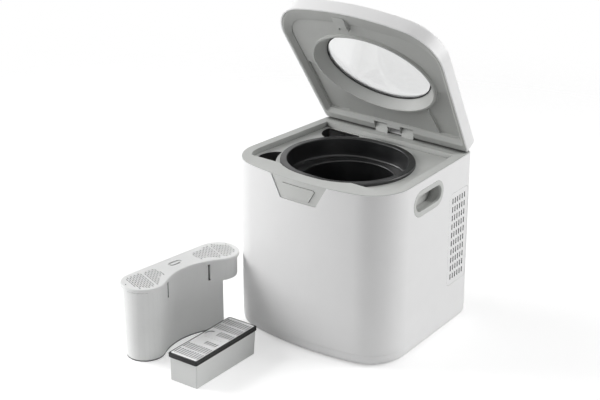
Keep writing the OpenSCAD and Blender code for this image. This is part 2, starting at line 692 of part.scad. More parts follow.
module front_button() color(grey) {
  front_skin(0.2, 3.2) along_y(-body_d, 0) button_plan(0);
  along_y(button_y - 6, button_y) translate([0, button_mid]) square([38, 12], center = true);
}
module button_bracket() color("#55575a") {
  translate([-24, bracket_y, button_mid - 8]) cube([48, 2.4, ledge_under - button_mid + 8]);
  translate([-24, bracket_y - 12, ledge_under - 2.4]) cube([48, 13, 2.4]);
  for (s = [-1, 1]) translate([s * 22.8 - 1.2, bracket_y - 9, button_mid - 8]) cube([2.4, 10, ledge_under - button_mid + 8]);
}
module button_switch() color(black) translate([0, bracket_y - 0.1, button_mid]) rotate([90, 0, 0]) {
  translate([-6, -6, 0]) cube([12, 12, 5]);
  cylinder(d = 4, h = 12 - button_travel - 0.2);
}
module button_spring() color(steel) for (s = [-1, 1]) translate([s * 15, bracket_y, button_mid]) rotate([90, 0, 0])
  coil(2.4, 0.9, 5, bracket_y - button_y);

// Lid, drawn closed and then turned open about the hinge pin
lid_z = deck_top + lid_gap;
lid_top = lid_z + lid_h;
window_y = -3;
well_a = 115;
well_b = 79;
liner_z = lid_z + 6;
panel_z = liner_z + 2;
pocket_z = liner_z + 5;
liner_t = 2.2;
catch_xy = [-23, -115.5];
relief_r = hinge_z - deck_top - 0.6;
notch_x = [lug_x[0] - 1, lug_x[1] + 1];

module opened()
  translate([0, hinge_y, hinge_z]) rotate([-lid_open, 0, 0]) translate([0, -hinge_y, -hinge_z]) children();

// What swings past the deck: the corner behind and below the pin, and the two hinge lugs
module hinge_relief() {
  difference() {
    translate([-rear_w, hinge_y, lid_z - 20]) cube([2 * rear_w, 40, hinge_z - lid_z + 20]);
    translate([-rear_w - cut, hinge_y, hinge_z]) rotate([0, 90, 0]) cylinder(r = relief_r, h = 2 * rear_w + 2 * cut);
  }
  for (s = [-1, 1]) mirror([s < 0 ? 1 : 0, 0, 0]) {
    translate([notch_x[0], hinge_y - 12, lid_z - cut]) cube([notch_x[1] - notch_x[0], 30, hinge_z - lid_z + lug_r + 2 + cut]);
  }
}

module lid_shell() color(white) opened() difference() {
  loft([
    [lid_z, outline(-0.4)], [lid_top - 9, outline(-0.4)], [lid_top - 5, outline(0.6)], [lid_top - 2, outline(3)],
    [lid_top, outline(7)], [lid_top + 1.2, outline(13)], [lid_top + 2, outline(26)]
  ]);
  loft([
    [lid_z - cut, outline(lid_wall - 0.2)], [lid_top - 8, outline(lid_wall)], [lid_top - 4.5, outline(1.6 + lid_wall)],
    [lid_top - 1.6, outline(5 + lid_wall)], [lid_top - 0.4, outline(13 + lid_wall)]
  ]);
  slab(oval(window_a, window_b, window_y), lid_top - 6, lid_top + 10);
  hinge_relief();
}

// The outline drawn in by its own distance at the sides, the front and the back
function panel(side, front, back) = [for (p = outline(side))
  [p[0], p[1] * (body_d / 2 - (p[1] < 0 ? front : back)) / (body_d / 2 - side)]];

// Floors of the two rear pockets, beside the raised middle that carries the hinge
module pockets(grow) difference() {
  intersection() {
    polygon(panel(14 - grow, 31 - grow, 26 - grow));
    translate([-rear_w, 7 - grow]) square(2 * rear_w);
  }
  polygon([[-84 + grow, 60 + grow], [-110 + grow, rear_w], [110 - grow, rear_w], [84 - grow, 60 + grow]]);
}

module lid_liner() color(liner_grey) opened() {
  difference() {
    union() {
      difference() {
        union() {
          slab(outline(0.5 + lid_wall), lid_z + 0.2, panel_z + liner_t);
          translate([0, 0, panel_z]) linear_extrude(pocket_z + liner_t - panel_z) pockets(liner_t);
        }
        loft([[lid_z - cut, panel(3.8, 4.5, 15.8)], [liner_z, panel(12, 29, 24)]]);
        slab(panel(12.6, 29.6, 24.6), liner_z - 0.5, panel_z);
        difference() {
          translate([0, 0, panel_z - 0.5]) linear_extrude(pocket_z - panel_z + 0.5) pockets(0);
          slab(oval(well_a + 6, well_b + 6, window_y), liner_z, pocket_z + cut);
        }
        difference() {
          slab(outline(lid_wall + 3), lid_z + 3.4, panel_z + 20);
          loft([[lid_z + 3, panel(5.2, 9, 5.2)], [panel_z, panel(10.4, 27, 5.3)], [panel_z + 21, panel(10.4, 27, 5.3)]]);
        }
      }
      slab(oval(well_a + 3.2, well_b + 3.2, window_y), liner_z - 3, panel_z + 1);
      loft([
        [panel_z, oval(well_a + 2, well_b + 2, window_y)],
        [pane_z, oval(window_a + liner_t, window_b + liner_t, window_y)]
      ]);
      translate([catch_xy[0], catch_xy[1], lid_z + 0.4]) linear_extrude(panel_z - lid_z + 1) rounded_rect(22, 23, 3);
      for (s = [-1, 1]) translate([catch_xy[0] + 8.5 * s - 1.75, catch_xy[1] + 11, liner_z - 4]) cube([3.5, 8, 5]);
    }
    loft([
      [liner_z - 4, oval(well_a, well_b, window_y)], [liner_z - 1, oval(well_a, well_b, window_y)],
      [pane_z + 0.1, oval(window_a, window_b, window_y)]
    ]);
    translate([catch_xy[0], catch_xy[1], lid_z + 1.6]) cylinder(d = 8.2, h = 20);
    hinge_relief();
    translate([-12.5, hinge_y - 8, lid_z - cut]) cube([25, 20, 30]);
    translate([0, hinge_y, hinge_z]) rotate([0, 90, 0]) cylinder(d = hinge_pin_d + 4 * run_gap, h = 200, center = true);
    for (s = [-1, 1]) mirror([s < 0 ? 1 : 0, 0, 0]) translate([55, hinge_y - 6, liner_z + 1]) cube([80, 20, 20]);
  }
  for (s = [-1, 1]) mirror([s < 0 ? 1 : 0, 0, 0]) difference() {
    union() {
      translate([39.3, hinge_y, hinge_z]) rotate([0, 90, 0]) cylinder(r = 6, h = 15);
      translate([39.3, hinge_y - 12, liner_z + 0.5]) cube([15, 12, 5]);
    }
    translate([30, hinge_y, hinge_z]) rotate([0, 90, 0]) cylinder(d = hinge_pin_d + 2 * run_gap, h = 40);
    hinge_relief();
  }
}
pane_z = lid_top - 3.6 - pane_t;
module window_pane() color([0.85, 0.9, 0.92, 0.35]) opened()
  slab(oval(window_a + 4, window_b + 4, window_y), pane_z + 0.9, pane_z + 0.9 + pane_t);
module window_gasket() color(black) opened() difference() {
  slab(oval(window_a + 3, window_b + 3, window_y), pane_z + 0.1, pane_z + 0.8);
  slab(oval(window_a - 0.8, window_b - 0.8, window_y), pane_z - 1, pane_z + 2);
}
module catch_magnet() color(steel) opened() translate([catch_xy[0], catch_xy[1], lid_z + 1.65]) cylinder(d = 8, h = 3);
module hinge_pin() color(steel) translate([-56, hinge_y, hinge_z]) rotate([0, 90, 0]) cylinder(d = hinge_pin_d, h = 112);
module lid_spring() color(steel) translate([-11.5, hinge_y, hinge_z]) rotate([0, 90, 0])
  coil(hinge_pin_d / 2 + 1.1, 1.6, 9, 23);

// Electronics

module lid_switch() color(black) {
  translate([catch_xy[0] - 10, bracket_y + 3.6, ledge_under - 5]) cube([20, 6, 5]);
  translate([catch_xy[0] - 14, bracket_y + 5.6, ledge_under - 2.6]) cube([28, 2, 1]);
}
module control_board() color("#2f6b45") translate([0, front_c - front_r + 15.5, 80.5]) {
  cube([110, 1.6, 60], center = true);
  translate([-30, 5, 8]) cube([24, 9, 18], center = true);
  translate([18, 4, -10]) cube([16, 7, 16], center = true);
  translate([38, 4, 14]) rotate([90, 0, 0]) cylinder(d = 12, h = 9, center = true);
  for (s = [-1, 1]) translate([s * 50, -5.1, 0]) cube([5, 9, 8], center = true);
}
module power_board() color("#2f6b45") translate([59 - rear_w / 2, body_d / 2 - 54, 11.5]) {
  cube([70, 60, 1.6], center = true);
  translate([-18, 10, 14]) cube([26, 24, 27], center = true);
  for (x = [8, 22]) translate([x, -14, 0]) cylinder(d = 13, h = 22);
  translate([16, 16, 7]) cube([18, 12, 14], center = true);
  for (x = [-30, 30]) for (y = [-25, 25]) translate([x, y, -8.5]) cylinder(d = 6, h = 8);
}
module power_inlet() color(black) translate([inlet_x, body_d / 2, inlet_z]) {
  difference() {
    union() {
      translate([0, -8.6, 0]) cube([inlet_w, 18, inlet_h], center = true);
      translate([0, -wall - 1.15, 0]) cube([inlet_w + 12, 2, inlet_h + 8], center = true);
    }
    translate([0, -3, 0]) cube([inlet_w - 5, 15, inlet_h - 5], center = true);
  }
  for (x = [-6, 0, 6]) translate([x - 0.75, -13, x == 0 ? -1 : -4]) cube([1.5, 5, 4]);
}

// Filter box, standing beside the body with its hollow side towards it
box_place = [-212, -215.1];
box_yaw = 6.05;
cover_t = 5;
short_lobe_h = 40;
module at_box()
  translate([box_place[0], box_place[1], -foot_t]) rotate([0, 0, 90 - box_yaw]) mirror([0, 1, 0]) children();

// The far lobe is short: what lies under it stands back for the air duct's port
module under_lobe(t) translate([box_a - 14 - t, -10, -cut]) cube([80, 120, box_h - short_lobe_h + cut + t]);

// The box's plan between two heights, widening upwards by its draft
module drafted(inset, z0, z1) translate([0, box_r, z0]) linear_extrude(z1 - z0, scale = 1.022)
  translate([0, -box_r]) polygon(crescent(inset));

module filter_box_body() color("#e4e5e3") at_box() difference() {
  drafted(5.4, 0, box_h - cover_t);
  difference() {
    drafted(7.4, 2, box_h + 1);
    under_lobe(2);
  }
  under_lobe(0);
  translate([box_a + 3, box_r, box_h - short_lobe_h - 4]) cylinder(d = 28, h = 12);
  translate([-43.3, 20, box_h - cover_t - 33]) cube([2.6, 60, 29]);
  translate([44.5, 20, box_h - cover_t - 32]) cube([3.2, 60, 28]);
}
// Staggered rows of short slots over each lobe, laid askew, with a bar left between two groups of rows
row_pitch = 3.6;
dash = [1.5, 6];
dash_pitch = 8.3;
peg_hole = [box_a + box_r - 8, box_r - 10];
function in_lobe(p) = norm(p - peg_hole) > 6 && (
  norm(p - [box_a, box_r]) < box_r - 9.5 ||
  (p[0] < box_a && p[0] > box_a - 42 && abs(p[1] - box_r + 8) < 15));
module lobe_slots() for (s = [-1, 1]) for (i = [-7 : 12]) for (j = [-3 : 3])
  let (
    x = box_a + s * 4 - row_pitch * (i < 2 ? i : i + 0.8),
    c = [x, box_r] + (dash_pitch * (j + (i % 2 == 0 ? 0 : 0.5))) * [-s * sin(14), cos(14)]
  ) if (in_lobe(c)) translate([s * c[0], c[1]]) rotate(14) square(dash, center = true);

module filter_box_cover() color("#f0f1ef") at_box() difference() {
  union() {
    slab(crescent(0), box_h - cover_t, box_h - 1);
    slab(crescent(1.2), box_h - 1.2, box_h);
  }
  slab(crescent(2.6), box_h - cover_t - cut, box_h - cover_t + 1.2);
  translate([0, 0, box_h - cover_t - cut]) linear_extrude(20) lobe_slots();
  for (s = [-1, 1]) translate([s * peg_hole[0], peg_hole[1], box_h - 2]) cylinder(d = 3, h = 3);
  translate([0, 22, box_h - 2]) linear_extrude(3) polygon(stadium(26, 12));
}
module filter_box_latch() color("#d9dad8") at_box()
  translate([0, 22, box_h - 1.9]) linear_extrude(1.7) polygon(stadium(19, 7));

// Carbon cartridge
cart_place = [-69.5, -265];
cart_yaw = 1.9;
gasket_t = 7.5;
module at_cart() translate([cart_place[0], cart_place[1], -foot_t]) rotate([0, 0, 90 + cart_yaw]) children();
function box_plan(l, w, r = 2) = concat(
  arc([l / 2 - r, w / 2 - r], r, 90, 0, 3), arc([l / 2 - r, -w / 2 + r], r, 0, -90, 3),
  arc([-l / 2 + r, -w / 2 + r], r, -90, -180, 3), arc([-l / 2 + r, w / 2 - r], r, -180, -270, 3));

// The case's foot: the near end stands straight and the far end leans in
function foot_plan(t) = [for (p = box_plan(cart_l - 8 - 2 * t, cart_w - 4 - 2 * t)) p - [1.5, 0]];

module cartridge_case() color("#e8e9e7") at_cart() difference() {
  loft([[0, foot_plan(0)], [cart_h - gasket_t, box_plan(cart_l - 5, cart_w - 2.5)]]);
  loft([[1.6, foot_plan(1.6)], [cart_h, box_plan(cart_l - 8.2, cart_w - 5.7)]]);
  translate([cart_l / 2 - 8, -cart_w / 2 + 2, 0]) cube([10, 0.6, 20]);
}
module cartridge_gasket() color(black) at_cart() difference() {
  slab(box_plan(cart_l, cart_w, 3), cart_h - gasket_t, cart_h - 0.6);
  slab(box_plan(cart_l - 6, cart_w - 6, 2), cart_h - gasket_t - cut, cart_h);
}
module cartridge_cover() color("#fbfbfa") at_cart() difference() {
  union() {
    slab(box_plan(cart_l - 6.2, cart_w - 6.2, 2), cart_h - gasket_t, cart_h);
    translate([-1.2, -18, cart_h - 0.2]) cube([2, 36, 1]);
  }
  slab(box_plan(cart_l - 10, cart_w - 10, 1), cart_h - gasket_t - cut, cart_h - 2);
  for (x = [-60, -39, 39, 60]) for (j = [-4.5 : 4.5]) translate([x, j * 5, cart_h]) cube([17, 2.2, 10], center = true);
  for (j = [-4.5 : 0.5]) translate([18, j * 5, cart_h]) cube([14, 2.2, 10], center = true);
  for (j = [-3 : 1]) translate([-16, j * 5 - 4, cart_h]) cube([10, 2.2, 10], center = true);
  translate([12, 14, cart_h - 1.5]) difference() {
    cylinder(r = 10, h = 4);
    translate([-20, -20, -cut]) cube([40, 20, 10]);
  }
}
module carbon_fill() color("#1f2021") at_cart()
  loft([[1.9, foot_plan(2.2)], [cart_h - gasket_t - 0.3, box_plan(cart_l - 11.2, cart_w - 11.2)]]);

base_pan();
rubber_feet();
outer_shell();
deck_frame();
deck_tray();
handle_cup_right();
handle_cup_left();
vent_grille();
filter_bay();
filter_clip();
cartridge_bay();
air_duct();
fan_frame();
fan_rotor();
bucket_seat();
heater_plate();
thermal_switch();
seat_screws();
bucket();
bucket_bush();
stirrer();
driven_dog();
output_shaft();
shaft_bearings();
output_gear();
idler_gear();
idler_pin();
motor_pinion();
motor();
gearbox_tray();
gearbox_cover();
gearbox_screws();
front_button();
button_bracket();
button_switch();
button_spring();
lid_shell();
lid_liner();
window_pane();
window_gasket();
catch_magnet();
hinge_pin();
lid_spring();
lid_switch();
control_board();
power_board();
power_inlet();
filter_box_body();
filter_box_cover();
filter_box_latch();
cartridge_case();
cartridge_gasket();
cartridge_cover();
carbon_fill();
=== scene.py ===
"""Dresses the electric food waste composter: finishes, smooth pieces, studio and camera."""
import json
import math

import bpy
import numpy as np
from mathutils import Matrix, Vector


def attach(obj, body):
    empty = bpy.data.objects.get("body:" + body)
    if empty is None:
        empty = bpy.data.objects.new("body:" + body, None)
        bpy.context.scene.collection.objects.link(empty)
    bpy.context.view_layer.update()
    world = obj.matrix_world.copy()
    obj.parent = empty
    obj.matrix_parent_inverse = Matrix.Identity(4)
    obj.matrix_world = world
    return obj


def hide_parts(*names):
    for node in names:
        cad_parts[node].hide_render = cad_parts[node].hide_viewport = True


bl_info = {
    "name": "Food Waste Composter",
    "version": (1, 0, 0),
    "blender": (4, 5, 0),
    "location": "View3D > Sidebar > Composter",
    "description": "Finishes and smooth pieces for an electric food waste composter",
    "category": "Object",
}

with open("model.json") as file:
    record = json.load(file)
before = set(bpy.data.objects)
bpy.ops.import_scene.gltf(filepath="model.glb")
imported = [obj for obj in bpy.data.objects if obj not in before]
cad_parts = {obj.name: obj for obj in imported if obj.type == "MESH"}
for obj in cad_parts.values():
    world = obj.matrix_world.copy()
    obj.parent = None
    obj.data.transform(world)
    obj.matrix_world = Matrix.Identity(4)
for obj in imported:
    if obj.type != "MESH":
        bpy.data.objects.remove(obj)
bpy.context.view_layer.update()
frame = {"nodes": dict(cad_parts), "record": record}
NODES = frame["nodes"]
SLOT_OF = {part["node"]: part["material_slot"] for part in frame["record"]["subparts"]}

# Sizes and places shared with the solids, in millimetres, with the origin on the base pan's underside
FLOOR_Z = -1.5
BUCKET_Y = -8.0
SIDE_TAPER = math.radians(3.65)
HALF_REAR = 143.0
HALF_DEPTH = 140.0
HINGE_Y, HINGE_Z = 131.0, 302.0
LID_OPEN = math.radians(59.0)
WINDOW_Y = -3.0
HANDLE_Y, HANDLE_Z = 1.0, 254.5
FOOT_PLACES = ((104, -76), (-104, -76), (112, 104), (-112, 104))
BOX_X, BOX_Y, BOX_DEGREES = -212.0, -215.1, 83.95
CARTRIDGE_X, CARTRIDGE_Y, CARTRIDGE_DEGREES = -69.5, -265.0, 91.9

# Heights of the faces that slots and mouths go down from, in metres; shade is painted on the walls under them
TRAY_TOP, BOX_TOP, CARTRIDGE_TOP = 0.2821, 0.1265, 0.0465

# The photo's camera: turn and tilt in degrees; distance, shifts, lens and sensor in millimetres
CAMERA_TURN, CAMERA_TILT = 38.06, 22.53
CAMERA_AWAY, CAMERA_LEFT, CAMERA_UP = 2675.7, 81.6, 199.0
CAMERA_LENS, CAMERA_SENSOR = 95.568, 36

# Softboxes: name, setting of its power, place, point it faces and side, in metres
LAMPS = (
    ("Left softbox", "left", (-2.1, -0.87, 1.2), (0, 0, 0.15), 1.5),
    ("Front left softbox", "front_left", (-1.3, -1.9, 0.5), (0, 0, 0.15), 1.5),
    ("Right softbox", "right", (1.81, 1.36, 1.2), (0, 0, 0.15), 1.5),
    ("Front softbox", "front", (1.7, -1.6, 1.2), (0, 0, 0.15), 1.5),
    ("Top softbox", "top", (-0.1, 0.2, 2.5), (0, 0, 0), 1.8),
)

# Half the floor's side in millimetres, and how far out it starts to fade and is gone, in metres
FLOOR_HALF = 3000
FLOOR_FADE = (0.75, 1.6)


# Settings

def linear(rgb):
    """The linear colour of an sRGB colour: a power curve with a straight toe."""
    c = np.asarray(rgb, float)
    return tuple(np.where(c <= 0.04045, c / 12.92, ((c + 0.055) / 1.055) ** 2.4))


def colour_prop(name, description, rgb):
    """A colour setting, given in sRGB."""
    return bpy.props.FloatVectorProperty(
        name=name, description=description, subtype="COLOR", size=3, min=0, max=1, default=linear(rgb))


def length_prop(name, description, mm):
    """A length setting, given in millimetres."""
    return bpy.props.FloatProperty(
        name=name, description=description, subtype="DISTANCE", unit="LENGTH", min=0, default=mm / 1000)


def power_prop(name, description, watts):
    """A setting of a lamp's power."""
    return bpy.props.FloatProperty(name=name, description=description, unit="POWER", min=0, default=watts)


def level_prop(name, description, level):
    """A setting of a strength without a unit."""
    return bpy.props.FloatProperty(name=name, description=description, min=0, default=level)


class ComposterSizes(bpy.types.PropertyGroup):
    """Sizes of the smooth pieces"""
    rim_radius: length_prop("Rim radius", "Radius of the bucket's rim", 101)
    rim_flat: length_prop("Rim flat", "Half of the straight part of the bucket's rim", 10)
    well_radius: length_prop("Well radius", "Inner radius of the bucket's round well", 76.5)
    bucket_wall: length_prop("Bucket wall", "Wall of the bucket", 2)
    window_a: length_prop("Window half width", "Half width of the lid's window", 100)
    window_b: length_prop("Window half depth", "Half depth of the lid's window", 70)
    handle_l: length_prop("Handle length", "Length of a handle cup's collar", 92)
    handle_w: length_prop("Handle height", "Height of a handle cup's collar", 44)
    grip_l: length_prop("Grip length", "Length of a handle cup's mouth", 78)
    grip_w: length_prop("Grip height", "Height of a handle cup's mouth", 27)
    foot_d: length_prop("Foot diameter", "Diameter of a rubber foot", 24)
    edge: length_prop("Edge", "Radius at which moulded edges catch the light", 0.45)


class ComposterColours(bpy.types.PropertyGroup):
    """Colours of the finishes"""
    body: colour_prop("Body", "White of the shell, base and lid", (0.945, 0.945, 0.945))
    deck: colour_prop("Deck", "Pale grey of the deck and the handle cups", (0.80, 0.805, 0.795))
    liner: colour_prop("Liner", "Grey of the lid's inner moulding", (0.72, 0.725, 0.715))
    bucket: colour_prop("Bucket", "Non-stick coating of the bucket", (0.105, 0.108, 0.112))
    filter_box: colour_prop("Filter box", "White of the filter box", (0.945, 0.948, 0.945))
    cartridge: colour_prop("Cartridge", "Pale grey of the cartridge's case", (0.87, 0.875, 0.87))
    # Painted light: the cover's white is set brighter than the filter box's to make up for the filter box's
    # shadow on it
    cover: colour_prop("Cartridge cover", "White of the cartridge's slotted cover", (0.985, 0.985, 0.985))
    rubber: colour_prop("Rubber", "Gaskets and feet", (0.06, 0.06, 0.062))
    floor: colour_prop("Floor", "Studio floor", (0.93, 0.93, 0.93))


class ComposterStudio(bpy.types.PropertyGroup):
    """Light of the studio"""
    left: power_prop("Left light", "Power of the left softbox", 49)
    right: power_prop("Right light", "Power of the right softbox", 37)
    top: power_prop("Top light", "Power of the overhead softbox", 9)
    front: power_prop("Front light", "Power of the front right softbox", 6)
    front_left: power_prop("Front left light", "Power of the low front left softbox", 10)
    fill: level_prop("Fill", "Strength of the even light from all round", 0.13)
    glow: level_prop("Floor glow", "What the floor adds to its own light where the camera sees it", 0.38)


# Mesh helpers

def keep(obj, body, slot, *nodes):
    """Files a finished piece: it rides on its body and stands for CAD nodes, which it hides; the slot's name is
    not used.
    """
    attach(obj, body)
    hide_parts(*nodes)


def mesh_object(name, points, faces, material, sharp=None):
    """An object of points in millimetres and faces, shaded smooth, with edges past the angle kept sharp."""
    mesh = bpy.data.meshes.new(name)
    mesh.from_pydata((np.asarray(points, float) / 1000).tolist(), [], faces)
    mesh.validate()
    mesh.materials.append(material)
    mesh.polygons.foreach_set("use_smooth", np.ones(len(mesh.polygons), bool))
    if sharp:
        mesh.set_sharp_from_angle(angle=math.radians(sharp))
    mesh.update()
    obj = bpy.data.objects.new(name, mesh)
    bpy.context.scene.collection.objects.link(obj)
    return obj


def skin(rings, around=True):
    """Faces over a stack of rings, shape (m, n, 3): quads between neighbouring rings.

    Rings run anticlockwise seen from the end that the stack grows towards. With around, the last ring joins
    the first, as on a tube bent into a loop. Without it, a flat cap closes each end.
    """
    m, n = rings.shape[:2]
    index = np.arange(m * n).reshape(m, n)
    low = index if around else index[:-1]
    high = np.roll(index, -1, 0) if around else index[1:]
    faces = np.stack([low, np.roll(low, -1, 1), np.roll(high, -1, 1), high], -1).reshape(-1, 4).tolist()
    if not around:
        faces += [index[0, ::-1].tolist(), index[-1].tolist()]
    return rings.reshape(-1, 3), faces


def unit(vectors):
    """Rows of vectors brought to length 1."""
    return vectors / np.maximum(np.linalg.norm(vectors, axis=1, keepdims=True), 1e-9)


def rounded(corners, cuts, steps=5, closed=False):
    """A polyline with rounded corners: each is a quadratic curve between points set back along its sides."""
    p = np.asarray(corners, float)
    c = np.broadcast_to(np.asarray(cuts, float), len(p))[:, None]
    back, ahead = np.roll(p, 1, 0) - p, np.roll(p, -1, 0) - p
    a, b = p + unit(back) * c, p + unit(ahead) * c
    t = np.linspace(0, 1, steps)[None, :, None]
    curve = (1 - t) ** 2 * a[:, None] + 2 * t * (1 - t) * p[:, None] + t ** 2 * b[:, None]
    if not closed:
        return np.concatenate([p[:1], curve[1:-1].reshape(-1, p.shape[1]), p[-1:]])
    return curve.reshape(-1, p.shape[1])


def circle_angles(n):
    """Angles of n equal steps round a circle."""
    return np.arange(n) * 2 * math.pi / n


def obround_rings(profile, n=160):
    """Rings of a bucket: a circle of radius r at height z, its halves dx apart and eased across the middle."""
    a = circle_angles(n)[None]
    r, dx, z = (profile[:, i:i + 1] for i in range(3))
    x = r * np.cos(a) + dx * np.clip(6 * np.cos(a), -1, 1)
    return np.stack([x, r * np.sin(a) + BUCKET_Y, z + 0 * a], -1)


def stadium_rings(profile, n=96):
    """Rings of a slot with round ends: length l, width w, at depth x, as points (x, along, up)."""
    a = circle_angles(n)[None]
    l, w, x = (profile[:, i:i + 1] for i in range(3))
    half = (l - w) / 2
    along = w / 2 * np.cos(a) + half * np.clip(8 * np.cos(a), -1, 1)
    return np.stack([x + 0 * a, along, w / 2 * np.sin(a)], -1)


def rectangle_rings(profile, n=24):
    """Rings of a rounded rectangle: length l, width w, corner r, height z, with a quarter circle per corner."""
    q = np.linspace(0, math.pi / 2, n // 4)
    a = np.concatenate([q + k * math.pi / 2 for k in range(4)])[None]
    sx = np.repeat([1, -1, -1, 1], n // 4)[None]
    sy = np.repeat([1, 1, -1, -1], n // 4)[None]
    l, w, r, z = (profile[:, i:i + 1] for i in range(4))
    return np.stack([sx * (l / 2 - r) + r * np.cos(a), sy * (w / 2 - r) + r * np.sin(a), z + 0 * a], -1)


def turned_rings(profile, n, y=0.0):
    """Rings of a turned piece about an upright axis at y: radius and height."""
    a = circle_angles(n)[None]
    r, z = profile[:, :1], profile[:, 1:]
    return np.stack([r * np.cos(a), r * np.sin(a) + y, z + 0 * a], -1)


def oval_rings(profile, n=128):
    """Rings of an oval about the window's middle: half width a, half depth b, at height z."""
    t = circle_angles(n)[None]
    a, b, z = (profile[:, i:i + 1] for i in range(3))
    return np.stack([a * np.cos(t), WINDOW_Y + b * np.sin(t), z + 0 * t], -1)


def opened(points):
    """Turns points of the closed lid to where it stands open, about the hinge pin."""
    p = np.array(points, float)
    y, z = p[..., 1] - HINGE_Y, p[..., 2] - HINGE_Z
    c, s = math.cos(-LID_OPEN), math.sin(-LID_OPEN)
    p[..., 1], p[..., 2] = HINGE_Y + y * c - z * s, HINGE_Z + y * s + z * c
    return p


def on_side(points, side, y, z):
    """Carries points (outwards, back, up) to a tapering side wall; the left side is the mirror image."""
    p = np.asarray(points, float)
    wide = HALF_REAR * math.cos(SIDE_TAPER) + HALF_DEPTH * math.sin(SIDE_TAPER)
    half = (wide - math.sin(SIDE_TAPER) * y) / math.cos(SIDE_TAPER)
    c, s = math.cos(SIDE_TAPER), math.sin(SIDE_TAPER)
    x = half + c * p[..., 0] - s * p[..., 1]
    return np.stack([side * x, y + s * p[..., 0] + c * p[..., 1], z + p[..., 2]], -1)


def placed(points, x, y, z=0, degrees=0):
    """Turns points about +Z and moves them."""
    p = np.asarray(points, float)
    c, s = math.cos(math.radians(degrees)), math.sin(math.radians(degrees))
    return np.stack([x + c * p[..., 0] - s * p[..., 1], y + s * p[..., 0] + c * p[..., 1], z + p[..., 2]], -1)


def joined(parts):
    """Several (points, faces) pairs as one."""
    points, faces, first = [], [], 0
    for p, f in parts:
        points.append(np.asarray(p))
        faces += [[i + first for i in face] for face in f]
        first += len(p)
    return np.concatenate(points), faces


# Finishes

def group(name, inputs, outputs):
    """A new shader node group with named float inputs and outputs; returns it with its two ends."""
    tree = bpy.data.node_groups.new(name, "ShaderNodeTree")
    for label, value in inputs.items():
        socket = tree.interface.new_socket(name=label, in_out="INPUT", socket_type="NodeSocketFloat")
        socket.default_value = value
    for label, kind in outputs.items():
        tree.interface.new_socket(name=label, in_out="OUTPUT", socket_type=kind)
    return tree, tree.nodes.new("NodeGroupInput"), tree.nodes.new("NodeGroupOutput")


def node(tree, kind, x=0, y=0, **values):
    """A node at a place, with its properties set by attribute name and its inputs by socket name."""
    made = tree.nodes.new(kind)
    made.location = (x, y)
    for key, value in values.items():
        if hasattr(made, key):
            setattr(made, key, value)
        else:
            made.inputs[key.replace("_", " ")].default_value = value
    return made


def grain_group():
    """Moulded surface: fine pits from one noise, slow waves from another, as a height and a mottle mask."""
    tree, start, end = group("Moulded grain", {"Pit scale": 1400, "Wave scale": 22, "Pits": 1, "Waves": 0.3},
                             {"Height": "NodeSocketFloat", "Mottle": "NodeSocketFloat"})
    place = node(tree, "ShaderNodeTexCoord", -800)
    pits = node(tree, "ShaderNodeTexNoise", -500, 150, Detail=3.0, Roughness=0.6)
    waves = node(tree, "ShaderNodeTexNoise", -500, -150, Detail=4.0, Roughness=0.55)
    pit_gain = node(tree, "ShaderNodeMath", -250, 150, operation="MULTIPLY")
    wave_gain = node(tree, "ShaderNodeMath", -250, -50, operation="MULTIPLY")
    add = node(tree, "ShaderNodeMath", 0, 60, operation="ADD")
    spread = node(tree, "ShaderNodeMapRange", -50, -220, From_Min=0.35, From_Max=0.68)
    link = tree.links.new
    link(place.outputs["Object"], pits.inputs["Vector"])
    link(place.outputs["Object"], waves.inputs["Vector"])
    link(start.outputs["Pit scale"], pits.inputs["Scale"])
    link(start.outputs["Wave scale"], waves.inputs["Scale"])
    link(pits.outputs["Fac"], pit_gain.inputs[0])
    link(start.outputs["Pits"], pit_gain.inputs[1])
    link(waves.outputs["Fac"], wave_gain.inputs[0])
    link(start.outputs["Waves"], wave_gain.inputs[1])
    link(pit_gain.outputs[0], add.inputs[0])
    link(wave_gain.outputs[0], add.inputs[1])
    link(waves.outputs["Fac"], spread.inputs["Value"])
    link(add.outputs[0], end.inputs["Height"])
    link(spread.outputs["Result"], end.inputs["Mottle"])
    return tree


def edge_group():
    """Edge wear: where the rounded normal leaves the true one, broken up by a noise, as a mask."""
    tree, start, end = group("Edge wear", {"Radius": 0.0006, "Amount": 0.5, "Break up": 160},
                             {"Mask": "NodeSocketFloat"})
    place = node(tree, "ShaderNodeTexCoord", -900)
    bevel = node(tree, "ShaderNodeBevel", -650, 150, samples=4)
    true = node(tree, "ShaderNodeNewGeometry", -650, -50)
    dot = node(tree, "ShaderNodeVectorMath", -400, 60, operation="DOT_PRODUCT")
    edge = node(tree, "ShaderNodeMapRange", -200, 60, From_Min=0.998, From_Max=0.86)
    noise = node(tree, "ShaderNodeTexNoise", -650, -300, Detail=4.0)
    patches = node(tree, "ShaderNodeMapRange", -400, -300, From_Min=0.4, From_Max=0.7)
    times = node(tree, "ShaderNodeMath", 0, 0, operation="MULTIPLY")
    gain = node(tree, "ShaderNodeMath", 180, 0, operation="MULTIPLY")
    link = tree.links.new
    link(start.outputs["Radius"], bevel.inputs["Radius"])
    link(bevel.outputs["Normal"], dot.inputs[0])
    link(true.outputs["Normal"], dot.inputs[1])
    link(dot.outputs["Value"], edge.inputs["Value"])
    link(place.outputs["Object"], noise.inputs["Vector"])
    link(start.outputs["Break up"], noise.inputs["Scale"])
    link(noise.outputs["Fac"], patches.inputs["Value"])
    link(edge.outputs["Result"], times.inputs[0])
    link(patches.outputs["Result"], times.inputs[1])
    link(times.outputs[0], gain.inputs[0])
    link(start.outputs["Amount"], gain.inputs[1])
    link(gain.outputs[0], end.inputs["Mask"])
    return tree


